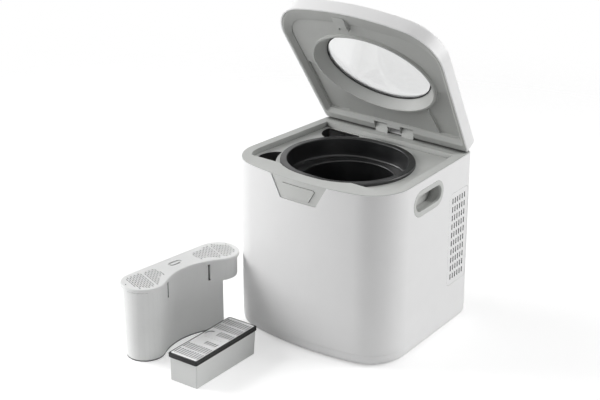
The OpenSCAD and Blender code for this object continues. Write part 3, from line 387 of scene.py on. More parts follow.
def brushed_group():
    """Brushed metal: noise drawn out along one axis, as a height and a streak mask."""
    tree, start, end = group("Brushed lines", {"Across": 2600, "Along": 40},
                             {"Height": "NodeSocketFloat", "Streak": "NodeSocketFloat"})
    place = node(tree, "ShaderNodeTexCoord", -900)
    scale = node(tree, "ShaderNodeCombineXYZ", -900, -250)
    stretch = node(tree, "ShaderNodeVectorMath", -650, 0, operation="MULTIPLY")
    noise = node(tree, "ShaderNodeTexNoise", -400, 0, Scale=1.0, Detail=3.0)
    slow = node(tree, "ShaderNodeTexNoise", -400, -250, Scale=60.0, Detail=2.0)
    mix = node(tree, "ShaderNodeMath", -150, -100, operation="MULTIPLY")
    link = tree.links.new
    link(start.outputs["Across"], scale.inputs["X"])
    link(start.outputs["Along"], scale.inputs["Y"])
    link(start.outputs["Across"], scale.inputs["Z"])
    link(place.outputs["Object"], stretch.inputs[0])
    link(scale.outputs[0], stretch.inputs[1])
    link(stretch.outputs[0], noise.inputs["Vector"])
    link(place.outputs["Object"], slow.inputs["Vector"])
    link(noise.outputs["Fac"], mix.inputs[0])
    link(slow.outputs["Fac"], mix.inputs[1])
    link(noise.outputs["Fac"], end.inputs["Height"])
    link(mix.outputs[0], end.inputs["Streak"])
    return tree


def recess_shade_group():
    """Painted recess shade: how much of the sky near a point is walled in, as a mask that is 1 deep in slots
    and gaps, where it paints shade into the colour.
    """
    tree, start, end = group("Recess", {"Reach": 0.004, "Open": 0.9, "Closed": 0.62},
                             {"Mask": "NodeSocketFloat"})
    sky = node(tree, "ShaderNodeAmbientOcclusion", -500, samples=8)
    spread = node(tree, "ShaderNodeMapRange", -200, 0, interpolation_type="SMOOTHSTEP")
    link = tree.links.new
    link(start.outputs["Reach"], sky.inputs["Distance"])
    link(sky.outputs["AO"], spread.inputs["Value"])
    link(start.outputs["Open"], spread.inputs["From Min"])
    link(start.outputs["Closed"], spread.inputs["From Max"])
    link(spread.outputs["Result"], end.inputs["Mask"])
    return tree


def slot_wall_shade_group():
    """Slot wall shade: points under a flat top, down to a depth, and within a radius of a centre, as a mask for
    shade painted on slot and mouth walls.
    """
    tree, start, end = group("Slot walls", {"Top": 0.05, "Depth": 1, "Centre X": 0, "Centre Y": 0, "Radius": 1},
                             {"Mask": "NodeSocketFloat"})
    place = node(tree, "ShaderNodeTexCoord", -1000)
    parts = node(tree, "ShaderNodeSeparateXYZ", -800)
    point = node(tree, "ShaderNodeCombineXYZ", -600, 150)
    centre = node(tree, "ShaderNodeCombineXYZ", -600, 0)
    away = node(tree, "ShaderNodeVectorMath", -400, 80, operation="DISTANCE")
    inside = node(tree, "ShaderNodeMath", -200, 80, operation="LESS_THAN")
    drop = node(tree, "ShaderNodeMath", -600, -200, operation="SUBTRACT")
    under = node(tree, "ShaderNodeMapRange", -400, -200, From_Min=0.0002, From_Max=0.0004)
    above = node(tree, "ShaderNodeMath", -400, -400, operation="LESS_THAN")
    band = node(tree, "ShaderNodeMath", -200, -250, operation="MULTIPLY")
    both = node(tree, "ShaderNodeMath", 0, 0, operation="MULTIPLY")
    link = tree.links.new
    link(place.outputs["Object"], parts.inputs[0])
    for axis in "XY":
        link(parts.outputs[axis], point.inputs[axis])
        link(start.outputs["Centre " + axis], centre.inputs[axis])
    link(point.outputs[0], away.inputs[0])
    link(centre.outputs[0], away.inputs[1])
    link(away.outputs["Value"], inside.inputs[0])
    link(start.outputs["Radius"], inside.inputs[1])
    link(start.outputs["Top"], drop.inputs[0])
    link(parts.outputs["Z"], drop.inputs[1])
    link(drop.outputs[0], under.inputs["Value"])
    link(drop.outputs[0], above.inputs[0])
    link(start.outputs["Depth"], above.inputs[1])
    link(under.outputs["Result"], band.inputs[0])
    link(above.outputs[0], band.inputs[1])
    link(band.outputs[0], both.inputs[0])
    link(inside.outputs[0], both.inputs[1])
    link(both.outputs[0], end.inputs["Mask"])
    return tree


# Node groups made so far, by name
GROUPS = {}


def use(tree, name, x, y, **values):
    """A node group placed in a material with its own values."""
    makers = {"Moulded grain": grain_group, "Edge wear": edge_group, "Brushed lines": brushed_group,
              "Recess": recess_shade_group, "Slot walls": slot_wall_shade_group}
    if name not in GROUPS:
        GROUPS[name] = makers[name]()
    made = tree.nodes.new("ShaderNodeGroup")
    made.node_tree = GROUPS[name]
    made.location = (x, y)
    for key, value in values.items():
        made.inputs[key.replace("_", " ")].default_value = value
    return made


def mixed(tree, x, y, a, b, factor):
    """A colour that goes from a to b as the factor goes from 0 to 1."""
    mix = tree.nodes.new("ShaderNodeMix")
    mix.data_type = "RGBA"
    mix.location = (x, y)
    for socket, value in ((mix.inputs["A"], a), (mix.inputs["B"], b)):
        if isinstance(value, bpy.types.NodeSocket):
            tree.links.new(value, socket)
        else:
            socket.default_value = (*value[:3], 1)
    tree.links.new(factor, mix.inputs["Factor"])
    return mix.outputs["Result"]


def new_material(name):
    """A new material with a Principled shader on its surface; returns it with its tree and its shader."""
    material = bpy.data.materials.new(name)
    material.use_nodes = True
    tree = material.node_tree
    tree.nodes.clear()
    out = node(tree, "ShaderNodeOutputMaterial", 700)
    shader = node(tree, "ShaderNodeBsdfPrincipled", 400)
    tree.links.new(shader.outputs[0], out.inputs["Surface"])
    return material, tree, shader


def tinted(colour, gain):
    """A colour made darker or brighter, held between black and white."""
    return tuple(np.clip(np.array(colour) * gain, 0, 1))


def moulded(name, colour, edge, roughness, pits, depth, waves=0.3, mottle=0.03, wear=0.5, wear_to=1.06,
            spread=0.06, coat=0.0, reach=0.0, shade_fraction=0.1, closed=0.6, top=None, under=1.0, discs=((0, 0, 1),)):
    """Moulded plastic or rubber: grain and slow unevenness, edges rounded and rubbed, roughness that varies.

    With a reach, slots and gaps about that wide darken to a fraction of the colour, set by an argument: painted
    shade, where their walls shut out the light. With a top, so does what lies under that height, down to the
    depth under, inside the discs (x, y, radius), as painted shade on slot and mouth walls. Lengths are in
    metres.
    """
    material, tree, shader = new_material(name)
    grain = use(tree, "Moulded grain", -700, -150, Pit_scale=pits, Waves=waves)
    worn = use(tree, "Edge wear", -700, 150, Radius=edge * 1.3, Amount=wear)
    shade = tinted(colour, 1 - mottle)
    rubbed = tinted(colour, wear_to)
    tint = mixed(tree, -350, 200, colour, shade, grain.outputs["Mottle"])
    tint = mixed(tree, -100, 220, tint, rubbed, worn.outputs["Mask"])
    if reach:
        # Painted shade: slots and gaps darken towards a fraction of the colour where their walls shut out the
        # light
        recess_shade = use(tree, "Recess", -350, 450, Reach=reach, Open=closed + 0.2, Closed=closed)
        tint = mixed(tree, 120, 260, tint, tinted(colour, shade_fraction), recess_shade.outputs["Mask"])
    # Painted shade: the walls of slots and mouths under the top darken to a fraction of the colour
    for x, y, radius in discs if top else ():
        walls = use(tree, "Slot walls", -350, 650, Top=top, Depth=under, Centre_X=x, Centre_Y=y, Radius=radius)
        tint = mixed(tree, 250, 300, tint, tinted(colour, shade_fraction), walls.outputs["Mask"])
    tree.links.new(tint, shader.inputs["Base Color"])
    rough = node(tree, "ShaderNodeMapRange", -100, -50, To_Min=roughness - spread, To_Max=roughness + spread)
    tree.links.new(grain.outputs["Mottle"], rough.inputs["Value"])
    tree.links.new(rough.outputs["Result"], shader.inputs["Roughness"])
    bevel = node(tree, "ShaderNodeBevel", -350, -300, samples=6, Radius=edge)
    bump = node(tree, "ShaderNodeBump", 50, -250, Strength=0.6, Distance=depth)
    tree.links.new(grain.outputs["Height"], bump.inputs["Height"])
    tree.links.new(bevel.outputs["Normal"], bump.inputs["Normal"])
    tree.links.new(bump.outputs["Normal"], shader.inputs["Normal"])
    shader.inputs["Coat Weight"].default_value = coat
    shader.inputs["Coat Roughness"].default_value = 0.15
    return material


def metal(name, colour, roughness=0.3, across=2600, along=40, depth=0.00001, dull=0.75):
    """Metal with brushed lines, dulled in streaks, its edges a little brighter."""
    material, tree, shader = new_material(name)
    lines = use(tree, "Brushed lines", -700, -150, Across=across, Along=along)
    worn = use(tree, "Edge wear", -700, 150, Radius=0.0005, Amount=0.6)
    tint = mixed(tree, -350, 200, colour, tinted(colour, dull), lines.outputs["Streak"])
    tint = mixed(tree, -100, 220, tint, tinted(colour, 1.25), worn.outputs["Mask"])
    tree.links.new(tint, shader.inputs["Base Color"])
    rough = node(tree, "ShaderNodeMapRange", -100, -50, To_Min=roughness - 0.08, To_Max=roughness + 0.14)
    tree.links.new(lines.outputs["Streak"], rough.inputs["Value"])
    tree.links.new(rough.outputs["Result"], shader.inputs["Roughness"])
    bump = node(tree, "ShaderNodeBump", 50, -250, Strength=0.5, Distance=depth)
    bevel = node(tree, "ShaderNodeBevel", -350, -300, samples=4, Radius=0.0003)
    tree.links.new(lines.outputs["Height"], bump.inputs["Height"])
    tree.links.new(bevel.outputs["Normal"], bump.inputs["Normal"])
    tree.links.new(bump.outputs["Normal"], shader.inputs["Normal"])
    shader.inputs["Metallic"].default_value = 1.0
    return material


def clear_pane(name, colour):
    """Clear pane: plain glass whose roughness rises a little in faint smears."""
    material, tree, shader = new_material(name)
    grain = use(tree, "Moulded grain", -700, -150, Pit_scale=300, Wave_scale=9)
    rough = node(tree, "ShaderNodeMapRange", -100, -50, To_Min=0.02, To_Max=0.09)
    tree.links.new(grain.outputs["Mottle"], rough.inputs["Value"])
    tree.links.new(rough.outputs["Result"], shader.inputs["Roughness"])
    shader.inputs["Base Color"].default_value = (*colour, 1)
    shader.inputs["Transmission Weight"].default_value = 1.0
    shader.inputs["IOR"].default_value = 1.45
    return material


def granules(name):
    """Loose carbon: cells of dark grain that stand proud of each other."""
    material, tree, shader = new_material(name)
    place = node(tree, "ShaderNodeTexCoord", -900)
    cells = node(tree, "ShaderNodeTexVoronoi", -600, 0, Scale=420.0)
    tree.links.new(place.outputs["Object"], cells.inputs["Vector"])
    tint = mixed(tree, -200, 150, (0.012, 0.012, 0.013), (0.05, 0.05, 0.052), cells.outputs["Color"])
    tree.links.new(tint, shader.inputs["Base Color"])
    bump = node(tree, "ShaderNodeBump", 50, -250, Strength=1.0, Distance=0.0012, invert=True)
    tree.links.new(cells.outputs["Distance"], bump.inputs["Height"])
    tree.links.new(bump.outputs["Normal"], shader.inputs["Normal"])
    shader.inputs["Roughness"].default_value = 0.6
    return material


def board(name):
    """Lacquered circuit board: green with paler tracks and a bump at their edges."""
    material, tree, shader = new_material(name)
    place = node(tree, "ShaderNodeTexCoord", -1000)
    tracks = node(tree, "ShaderNodeTexVoronoi", -700, 0, Scale=300.0, distance="MANHATTAN",
                  feature="DISTANCE_TO_EDGE")
    step = node(tree, "ShaderNodeMapRange", -450, 0, From_Min=0.03, From_Max=0.06)
    tree.links.new(place.outputs["Object"], tracks.inputs["Vector"])
    tree.links.new(tracks.outputs["Distance"], step.inputs["Value"])
    tint = mixed(tree, -200, 150, linear((0.20, 0.47, 0.30)), linear((0.10, 0.33, 0.20)),
                 step.outputs["Result"])
    tree.links.new(tint, shader.inputs["Base Color"])
    bump = node(tree, "ShaderNodeBump", 50, -250, Strength=0.4, Distance=0.0001)
    tree.links.new(step.outputs["Result"], bump.inputs["Height"])
    tree.links.new(bump.outputs["Normal"], shader.inputs["Normal"])
    shader.inputs["Roughness"].default_value = 0.35
    return material


def slot_fields():
    """Discs over the filter box cover's slots, where shade is painted on their walls: two on each lobe, turned
    and moved with the box, in metres.
    """
    c, s = math.cos(math.radians(BOX_DEGREES)), math.sin(math.radians(BOX_DEGREES))
    discs = [(side * x, y, r) for side in (-1, 1) for x, y, r in ((80, -36.5, 30), (54, -28.5, 22))]
    return [((x * c - y * s + BOX_X) / 1000, (x * s + y * c + BOX_Y) / 1000, r / 1000) for x, y, r in discs]


# Surfaces that several moulded finishes share: glossy walls, satin deck and liner, fine-grained loose parts
GLOSSY = dict(roughness=0.36, pits=1600, depth=0.00001, waves=0.5, mottle=0.015, wear=0.3, wear_to=1.03)
SATIN = dict(roughness=0.5, pits=1300, depth=0.00003, wear_to=1.08)
FINE = dict(roughness=0.42, pits=1500, depth=0.00002, waves=0.4, mottle=0.02, wear=0.4, wear_to=1.03)

# Finishes made so far, by slot
MATERIALS = {}


def finish(slot):
    """The finish of a record slot, made on first use."""
    if slot in MATERIALS:
        return MATERIALS[slot]
    c = bpy.context.scene.composter_colours
    edge = bpy.context.scene.composter_sizes.edge
    makers = {
        "white_plastic": lambda: moulded("White plastic", c.body, edge * 1.6, **GLOSSY),
        # Painted shade in the vent grille's slots
        "vent_plastic": lambda: moulded(
            "Vent plastic", c.body, edge * 0.7, **GLOSSY, reach=0.004, shade_fraction=0.1, closed=0.72),
        # Painted shade in deep recesses such as the handle cups' hollows and the gaps round the button
        "grey_plastic": lambda: moulded(
            "Grey plastic", c.deck, edge, **SATIN, reach=0.016, shade_fraction=0.2, closed=0.38),
        # Painted shade on the tray below its top, in the mouths' walls
        "tray_plastic": lambda: moulded("Tray plastic", c.deck, edge, **SATIN, shade_fraction=0.05, top=TRAY_TOP),
        "liner_plastic": lambda: moulded("Liner plastic", c.liner, edge * 1.4, **SATIN),
        # Painted shade in the filter box's narrow slits and gaps
        "filter_plastic": lambda: moulded(
            "Filter plastic", c.filter_box, edge * 0.5, **FINE, reach=0.003, shade_fraction=0.04, closed=0.78),
        # Painted shade on the slot walls under the box cover's top, inside the slot discs
        "box_cover_plastic": lambda: moulded(
            "Box cover plastic", c.filter_box, edge * 0.5, **FINE, shade_fraction=0.03, top=BOX_TOP, discs=slot_fields()),
        "cartridge_plastic": lambda: moulded("Cartridge plastic", c.cartridge, edge, **FINE),
        # Painted shade on the slot walls under the cover's top; its white is set brighter to make up for the
        # filter box's shadow
        "cover_plastic": lambda: moulded(
            "Cover plastic", c.cover, edge * 0.5, **dict(FINE, mottle=0.01, wear_to=1.01),
            shade_fraction=0.02, top=CARTRIDGE_TOP, under=0.00145),
        "inner_plastic": lambda: moulded(
            "Inner plastic", linear((0.17, 0.172, 0.17)), edge, roughness=0.55, pits=1300, depth=0.00003),
        "dark_plastic": lambda: moulded(
            "Dark plastic", linear((0.22, 0.225, 0.23)), edge, roughness=0.5, pits=1300, depth=0.00003),
        "gear_plastic": lambda: moulded(
            "Gear plastic", linear((0.86, 0.84, 0.78)), edge, roughness=0.45, pits=1300, depth=0.00002),
        "black_rubber": lambda: moulded(
            "Black rubber", c.rubber, edge, roughness=0.62, pits=900, depth=0.00004,
            waves=0.4, mottle=0.2, wear=0.4, wear_to=1.6),
        "black_coating": lambda: moulded(
            "Black coating", c.bucket, edge, roughness=0.38, pits=2200, depth=0.00002,
            mottle=0.15, wear=0.7, wear_to=1.7, spread=0.08, coat=0.15),
        "clear_plastic": lambda: clear_pane("Clear pane", (0.87, 0.875, 0.875)),
        "steel": lambda: metal("Steel", linear((0.72, 0.72, 0.73))),
        "aluminium": lambda: metal(
            "Aluminium", linear((0.75, 0.755, 0.76)), roughness=0.45, across=900, along=300, depth=0.00003),
        "bronze": lambda: metal(
            "Bronze", linear((0.78, 0.62, 0.38)), roughness=0.42, across=1200, along=500, depth=0.00002),
        "circuit_board": lambda: board("Circuit board"),
        "carbon": lambda: granules("Carbon granules"),
    }
    MATERIALS[slot] = makers[slot]()
    return MATERIALS[slot]


def smooth_by_angle():
    """Geometry nodes that shade a mesh smooth and keep the edges past an angle sharp."""
    tree = bpy.data.node_groups.new("Smooth by angle", "GeometryNodeTree")
    tree.interface.new_socket(name="Geometry", in_out="INPUT", socket_type="NodeSocketGeometry")
    limit = tree.interface.new_socket(name="Angle", in_out="INPUT", socket_type="NodeSocketFloat")
    limit.default_value = math.radians(24)
    tree.interface.new_socket(name="Geometry", in_out="OUTPUT", socket_type="NodeSocketGeometry")
    start, end = tree.nodes.new("NodeGroupInput"), tree.nodes.new("NodeGroupOutput")
    angle = node(tree, "GeometryNodeInputMeshEdgeAngle", 0, -200)
    over = node(tree, "FunctionNodeCompare", 200, -200, data_type="FLOAT", operation="LESS_THAN")
    faces = node(tree, "GeometryNodeSetShadeSmooth", 200, 0, domain="FACE")
    edges = node(tree, "GeometryNodeSetShadeSmooth", 400, 0, domain="EDGE")
    link = tree.links.new
    link(start.outputs["Geometry"], faces.inputs["Geometry"])
    link(faces.outputs["Geometry"], edges.inputs["Geometry"])
    link(angle.outputs["Unsigned Angle"], over.inputs[0])
    link(start.outputs["Angle"], over.inputs[1])
    link(over.outputs["Result"], edges.inputs["Shade Smooth"])
    link(edges.outputs["Geometry"], end.inputs["Geometry"])
    return tree


# CAD nodes

# Nodes whose finish is finer than their record slot says: dark sockets, tinted plastics, and slotted plastics
# and the tray with shade painted into their slots and mouths
OWN_FINISH = {
    "filter_bay": "inner_plastic", "air_duct": "inner_plastic", "cartridge_bay": "inner_plastic",
    "vent_grille": "vent_plastic", "cartridge_case": "cartridge_plastic", "cartridge_cover": "cover_plastic",
    "deck_tray": "tray_plastic", "filter_box_cover": "box_cover_plastic",
}

# Moulded nodes whose edges are rounded in the mesh, with the radius in millimetres
ROUNDED = {
    "outer_shell": 0.5, "deck_tray": 0.5, "front_button": 0.5, "vent_grille": 0.4,
    "filter_box_latch": 0.6, "filter_clip": 0.5,
}

# Nodes of flat faces alone, which need no smoothing
FLAT = ("cartridge_cover",)


def tidy_mesh(obj, name, tree):
    """Welds a CAD node's triangles, rounds its edges if in ROUNDED, and smooths it unless in FLAT."""
    weld = obj.modifiers.new("Weld", "WELD")
    weld.merge_threshold = 0.00001
    if name in ROUNDED:
        flat = obj.modifiers.new("Join flat faces", "DECIMATE")
        flat.decimate_type = "DISSOLVE"
        flat.angle_limit = math.radians(0.2)
        bevel = obj.modifiers.new("Rounded edges", "BEVEL")
        bevel.width = ROUNDED[name] / 1000
        bevel.segments = 2
        bevel.limit_method = "ANGLE"
        bevel.angle_limit = math.radians(40)
        bevel.miter_outer = "MITER_ARC"
    if name in FLAT:
        return
    smooth = obj.modifiers.new("Smooth by angle", "NODES")
    smooth.node_group = tree
    weight = obj.modifiers.new("Flat faces first", "WEIGHTED_NORMAL")
    weight.keep_sharp = True
    weight.weight = 60


# Operators

class COMPOSTER_OT_finish_nodes(bpy.types.Operator):
    """Gives every CAD node its finish, and smooth shading to all but those of flat faces alone"""
    bl_idname = "composter.finish_nodes"
    bl_label = "Finish the CAD nodes"

    def execute(self, context):
        tree = smooth_by_angle()
        for name, obj in NODES.items():
            material = finish(OWN_FINISH.get(name, SLOT_OF[name]))
            if not obj.material_slots:
                obj.data.materials.append(material)
            for slot in obj.material_slots:
                slot.material = material
            tidy_mesh(obj, name, tree)
        return {"FINISHED"}


class COMPOSTER_OT_bucket(bpy.types.Operator):
    """Makes the coated bucket: one profile carried round its obround rim and its round well"""
    bl_idname = "composter.bucket"
    bl_label = "Bucket"

    def execute(self, context):
        s = context.scene.composter_sizes
        rim, flat, well, wall = (v * 1000 for v in (s.rim_radius, s.rim_flat, s.well_radius, s.bucket_wall))
        collar = rim - 9
        # The wall's outline from the bush up the outside and down the inside: radius, straight half, height
        corners = [
            (10, 0, 133), (well + wall, 0, 133), (well + wall, 0, 254), (collar, flat, 254),
            (collar, flat, 282.2), (rim, flat, 282.2), (rim, flat, 288.1), (collar - wall, flat, 288.1),
            (collar - wall, flat, 256), (well, 0, 256), (well, 0, 135.5), (10, 0, 135.5),
        ]
        cuts = [0.1, 10, 1.2, 2.5, 0.8, 0.6, 2.6, 1.6, 4, 2.2, 9, 0.1]
        points, faces = skin(obround_rings(rounded(corners, cuts, 7, closed=True)))
        keep(mesh_object("bucket_bowl", points, faces, finish("black_coating"), 50),
             "bucket", "black_coating", "bucket")
        return {"FINISHED"}


class COMPOSTER_OT_stirrer(bpy.types.Operator):
    """Makes the stirrer: a turned hub, two blades along the floor that rise at the tip, and two upper bars"""
    bl_idname = "composter.stirrer"
    bl_label = "Stirrer"

    def execute(self, context):
        hub = rounded([(4.4, 129.6), (5, 129.6), (5, 138.8), (14, 138.8), (14, 160.8), (6, 167.5), (1, 167.5)],
                      [0, 0.4, 0.4, 1, 5, 3, 0], 7)
        parts = [skin(turned_rings(hub, 64, BUCKET_Y), around=False)]
        root = rounded([(-8, 0), (8, 0), (9, 1.2), (2, 7), (-4, 8), (-8, 5)], 1, 5, closed=True)
        for turn, lift in ((25, 26), (205, 16)):
            tip = [(-8, 0), (8, 0), (8, lift / 2), (1, lift), (-6, lift * 0.8), (-8, 6)]
            tip = rounded(tip, 1, 5, closed=True)
            parts.append(self.blade(root, tip, turn, z=138.9, start=6, end=66.9, rise=12))
        bar = rounded([(-6, 0), (6, 1), (3, 5), (-4, 6)], 1, 5, closed=True)
        parts.append(self.blade(bar, bar, 110, z=150.5, start=2, end=66.4, rise=4))
        parts.append(self.blade(bar, bar, 290, z=145.5, start=2, end=62.4, rise=4))
        keep(mesh_object("stirrer_arms", *joined(parts), finish("steel"), 45), "stirrer", "steel", "stirrer")
        return {"FINISHED"}

    def blade(self, root, tip, degrees, z, start, end, rise):
        """A section carried outwards from the hub; over its last part it goes from root to tip and draws in."""
        x = np.concatenate([np.linspace(start, end - rise, 4), end - rise * (1 - np.linspace(0, 1, 9)[1:])])
        t = np.clip((x - end + rise) / (rise - 1), 0, 1)[:, None, None]
        ease = t * t * (3 - 2 * t)
        section = root[None] * (1 - ease) + tip[None] * ease
        middle = section.mean(1, keepdims=True)
        draw = np.where(np.arange(len(x)) == len(x) - 1, 0.88, 1.0)[:, None, None]
        section = middle + (section - middle) * draw
        rings = np.stack([np.broadcast_to(x[:, None], section.shape[:2]), section[..., 0], section[..., 1]], -1)
        points, faces = skin(rings, around=False)
        return placed(points, 0, BUCKET_Y, z, degrees), faces


class COMPOSTER_OT_handles(bpy.types.Operator):
    """Makes both handle cups: a slot-shaped collar, its rounded mouth and the hollow for the fingers"""
    bl_idname = "composter.handles"
    bl_label = "Handle cups"

    def execute(self, context):
        s = context.scene.composter_sizes
        l, w, gl, gw = (v * 1000 for v in (s.handle_l, s.handle_w, s.grip_l, s.grip_w))
        # Length, width and depth from behind the wall, over the collar and into the hollow
        corners = [
            (l, w, -23.9), (l, w, 0.2), (gl, gw, 0.2),
            (gl, gw, -5), (gl + 7, gw + 8, -5.4), (gl + 7, gw + 8, -22),
        ]
        profile = rounded(corners, [0, 0.7, 1.6, 0.6, 1.5, 0], 6)
        points, faces = skin(stadium_rings(profile), around=False)
        for side, name in ((1, "right"), (-1, "left")):
            p = on_side(points, side, HANDLE_Y, HANDLE_Z)
            f = faces if side > 0 else [face[::-1] for face in faces]
            keep(mesh_object("handle_" + name, p, f, finish("grey_plastic"), 40),
                 "chassis", "grey_plastic", "handle_cup_" + name)
        return {"FINISHED"}


class COMPOSTER_OT_window(bpy.types.Operator):
    """Makes the lid's oval pane and the black gasket under it"""
    bl_idname = "composter.window"
    bl_label = "Lid window"

    def execute(self, context):
        s = context.scene.composter_sizes
        a, b = s.window_a * 1000, s.window_b * 1000
        # Half width, half depth and height on the closed lid
        pane = [(a + 3, b + 3, 315.0), (a + 4, b + 4, 315.0), (a + 4, b + 4, 317.4), (a + 3, b + 3, 317.4)]
        pane = rounded(pane, [0, 0.5, 0.5, 0], 4)
        points, faces = skin(opened(oval_rings(pane)), around=False)
        keep(mesh_object("window", points, faces, finish("clear_plastic"), 40),
             "lid", "clear_plastic", "window_pane")
        lip = [(a + 3, b + 3, 314.2), (a + 3, b + 3, 314.9), (a - 1.6, b - 1.6, 314.9),
               (a - 1.6, b - 1.6, 312.6), (a - 0.3, b - 0.3, 312.6), (a - 0.3, b - 0.3, 314.2)]
        points, faces = skin(opened(oval_rings(rounded(lip, 0.3, 4, closed=True))))
        keep(mesh_object("window_seal", points, faces, finish("black_rubber"), 50),
             "lid", "black_rubber", "window_gasket")
        return {"FINISHED"}


class COMPOSTER_OT_cartridge(bpy.types.Operator):
    """Makes the soft gasket round the carbon cartridge: a bulged lip carried round a rounded rectangle"""
    bl_idname = "composter.cartridge"
    bl_label = "Cartridge gasket"

    def execute(self, context):
        # Length, width, corner and height on the lying cartridge; the groove halfway up parts two bulges
        corners = [
            (147.2, 51.2, 2, 40.5), (153, 57, 3, 40.5), (153, 57, 3, 43.2), (151.6, 55.6, 3, 43.9),
            (153, 57, 3, 44.6), (153, 57, 3, 47.4), (147.2, 51.2, 2, 47.4),
        ]
        profile = rounded(corners, [0.2, 0.9, 0.4, 0.4, 0.4, 0.9, 0.2], 5, closed=True)
        points, faces = skin(rectangle_rings(profile))
        points = placed(points, CARTRIDGE_X, CARTRIDGE_Y, FLOOR_Z, CARTRIDGE_DEGREES)
        keep(mesh_object("cartridge_lip", points, faces, finish("black_rubber"), 60),
             "cartridge", "black_rubber", "cartridge_gasket")
        return {"FINISHED"}


class COMPOSTER_OT_feet(bpy.types.Operator):
    """Makes the four rubber feet: a rounded disc with two grooves turned into its sole"""
    bl_idname = "composter.feet"
    bl_label = "Rubber feet"

    def execute(self, context):
        r = context.scene.composter_sizes.foot_d / 2 * 1000
        groove = FLOOR_Z + 0.6
        corners = [(r, 1.5), (r, FLOOR_Z), (r - 3, FLOOR_Z), (r - 3.6, groove), (r - 4.2, FLOOR_Z),
                   (r - 6.4, FLOOR_Z), (r - 7, groove), (r - 7.6, FLOOR_Z), (2, FLOOR_Z)]
        profile = rounded(corners, [0, 0.7, 0.2, 0.2, 0.2, 0.2, 0.2, 0.2, 0], 4)
        # The profile runs downwards, so the rings are mirrored to keep them anticlockwise from its end
        points, faces = skin(turned_rings(profile, 56) * (1, -1, 1), around=False)
        feet = joined([(placed(points, x, y), faces) for x, y in FOOT_PLACES])
        keep(mesh_object("feet", *feet, finish("black_rubber"), 50), "chassis", "black_rubber", "rubber_feet")
        return {"FINISHED"}


def ray_mask(tree, x, y, *rays):
    """A mask that is 1 for rays of any of the named kinds."""
    path = node(tree, "ShaderNodeLightPath", x, y)
    mask = path.outputs[rays[0]]
    for step, ray in enumerate(rays[1:], 1):
        either = node(tree, "ShaderNodeMath", x + 200 * step, y, operation="MAXIMUM")
        tree.links.new(mask, either.inputs[0])
        tree.links.new(path.outputs[ray], either.inputs[1])
        mask = either.outputs[0]
    return mask


def floor_material(colour, glow):
    """Matt floor that glows for the camera alone, also through the pane, and fades out with distance."""
    material, tree, shader = new_material("Floor")
    shader.inputs["Base Color"].default_value = (*colour, 1)
    shader.inputs["Roughness"].default_value = 0.9
    shader.inputs["Specular IOR Level"].default_value = 0.1
    shader.inputs["Emission Color"].default_value = (1, 1, 1, 1)
    seen = ray_mask(tree, -600, 0, "Is Camera Ray", "Is Transmission Ray")
    level = node(tree, "ShaderNodeMath", -150, 0, operation="MULTIPLY")
    level.inputs[1].default_value = glow
    tree.links.new(seen, level.inputs[0])
    tree.links.new(level.outputs[0], shader.inputs["Emission Strength"])
    place = node(tree, "ShaderNodeTexCoord", -900, -300)
    away = node(tree, "ShaderNodeVectorMath", -700, -300, operation="LENGTH")
    fade = node(tree, "ShaderNodeMapRange", -450, -300, interpolation_type="SMOOTHSTEP",
                From_Min=FLOOR_FADE[0], From_Max=FLOOR_FADE[1], To_Min=1.0, To_Max=0.0)
    tree.links.new(place.outputs["Object"], away.inputs[0])
    tree.links.new(away.outputs["Value"], fade.inputs["Value"])
    tree.links.new(fade.outputs["Result"], shader.inputs["Alpha"])
    return material


def studio_world(fill):
    """White world: dimmed to fill as light, at full strength for the camera, reflections and the pane."""
    world = bpy.data.worlds.new("Studio")
    world.use_nodes = True
    tree = world.node_tree
    back = tree.nodes["Background"]
    back.inputs["Color"].default_value = (1, 1, 1, 1)
    shown = ray_mask(tree, -700, 0, "Is Camera Ray", "Is Glossy Ray", "Is Transmission Ray")
    strength = node(tree, "ShaderNodeMix", -100, 0)
    strength.inputs["A"].default_value = fill
    strength.inputs["B"].default_value = 1.0
    tree.links.new(shown, strength.inputs["Factor"])
    tree.links.new(strength.outputs["Result"], back.inputs["Strength"])
    return world


def softbox(name, place, target, side, power):
    """A square lamp at a place, turned to face a point."""
    lamp = bpy.data.lights.new(name, "AREA")
    lamp.shape = "RECTANGLE"
    lamp.size = lamp.size_y = side
    lamp.energy = power
    obj = bpy.data.objects.new(name, lamp)
    obj.location = place
    obj.rotation_euler = (Vector(target) - Vector(place)).to_track_quat("-Z", "Y").to_euler()
    bpy.context.scene.collection.objects.link(obj)


def photo_camera():
    """The photo's camera: from the floor's middle out along its line of sight, then shifted left and up."""
    turn, tilt = math.radians(CAMERA_TURN), math.radians(CAMERA_TILT)
    back = Vector((math.sin(turn) * math.cos(tilt), -math.cos(turn) * math.cos(tilt), math.sin(tilt)))
    right = Vector((math.cos(turn), math.sin(turn), 0))
    up = back.cross(right)
    place = (back * CAMERA_AWAY - right * CAMERA_LEFT + up * CAMERA_UP) / 1000 + Vector((0, 0, FLOOR_Z / 1000))
    lens = bpy.data.cameras.new("Camera")
    lens.sensor_width = CAMERA_SENSOR
    lens.lens = CAMERA_LENS
    lens.clip_end = 50
    camera = bpy.data.objects.new("Camera", lens)
    camera.matrix_world = Matrix.Translation(place) @ Matrix((right, up, back)).transposed().to_4x4()
    bpy.context.scene.collection.objects.link(camera)
    return camera


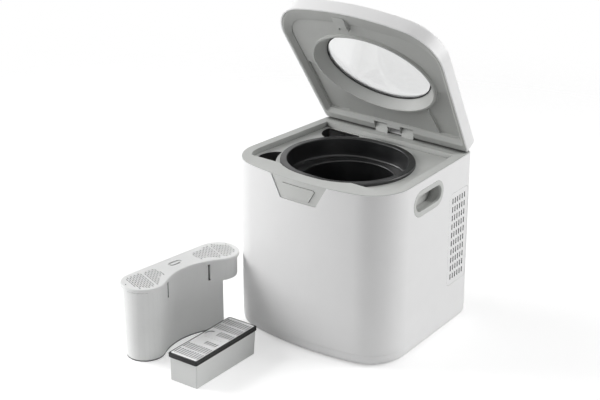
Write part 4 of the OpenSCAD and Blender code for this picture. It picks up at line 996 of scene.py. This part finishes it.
class COMPOSTER_OT_stage(bpy.types.Operator):
    """Makes the studio: floor, even light, softboxes and the camera"""
    bl_idname = "composter.stage"
    bl_label = "Studio"

    def execute(self, context):
        scene = context.scene
        studio = scene.composter_studio
        points = [(x * FLOOR_HALF, y * FLOOR_HALF, FLOOR_Z) for x, y in ((-1, -1), (1, -1), (1, 1), (-1, 1))]
        material = floor_material(scene.composter_colours.floor, studio.glow)
        mesh_object("floor", points, [[0, 1, 2, 3]], material)
        scene.world = studio_world(studio.fill)
        for name, setting, place, target, side in LAMPS:
            softbox(name, place, target, side, getattr(studio, setting))
        scene.camera = photo_camera()
        scene.view_settings.view_transform = "Standard"
        return {"FINISHED"}


class COMPOSTER_PT_panel(bpy.types.Panel):
    """Lists the composter's pieces and settings"""
    bl_idname = "COMPOSTER_PT_panel"
    bl_label = "Composter"
    bl_space_type = "VIEW_3D"
    bl_region_type = "UI"
    bl_category = "Composter"

    def draw(self, context):
        layout = self.layout
        for operator in OPERATORS:
            layout.operator(operator.bl_idname)
        for group_name in SETTINGS:
            settings = getattr(context.scene, group_name)
            box = layout.box()
            for name in settings.__annotations__:
                box.prop(settings, name)


OPERATORS = (
    COMPOSTER_OT_finish_nodes, COMPOSTER_OT_bucket, COMPOSTER_OT_stirrer, COMPOSTER_OT_handles,
    COMPOSTER_OT_window, COMPOSTER_OT_cartridge, COMPOSTER_OT_feet, COMPOSTER_OT_stage,
)
SETTINGS = {
    "composter_sizes": ComposterSizes, "composter_colours": ComposterColours,
    "composter_studio": ComposterStudio,
}


def register():
    """Registers the classes and hangs the settings on the scene."""
    for cls in (*SETTINGS.values(), *OPERATORS, COMPOSTER_PT_panel):
        bpy.utils.register_class(cls)
    for name, cls in SETTINGS.items():
        setattr(bpy.types.Scene, name, bpy.props.PointerProperty(type=cls))


def unregister():
    """Undoes register."""
    for name in SETTINGS:
        delattr(bpy.types.Scene, name)
    for cls in (COMPOSTER_PT_panel, *reversed(OPERATORS), *reversed(SETTINGS.values())):
        bpy.utils.unregister_class(cls)


def main():
    """Runs every operator once."""
    register()
    for operator in OPERATORS:
        group_name, name = operator.bl_idname.split(".")
        getattr(getattr(bpy.ops, group_name), name)()


if __name__ == "__main__":
    main()
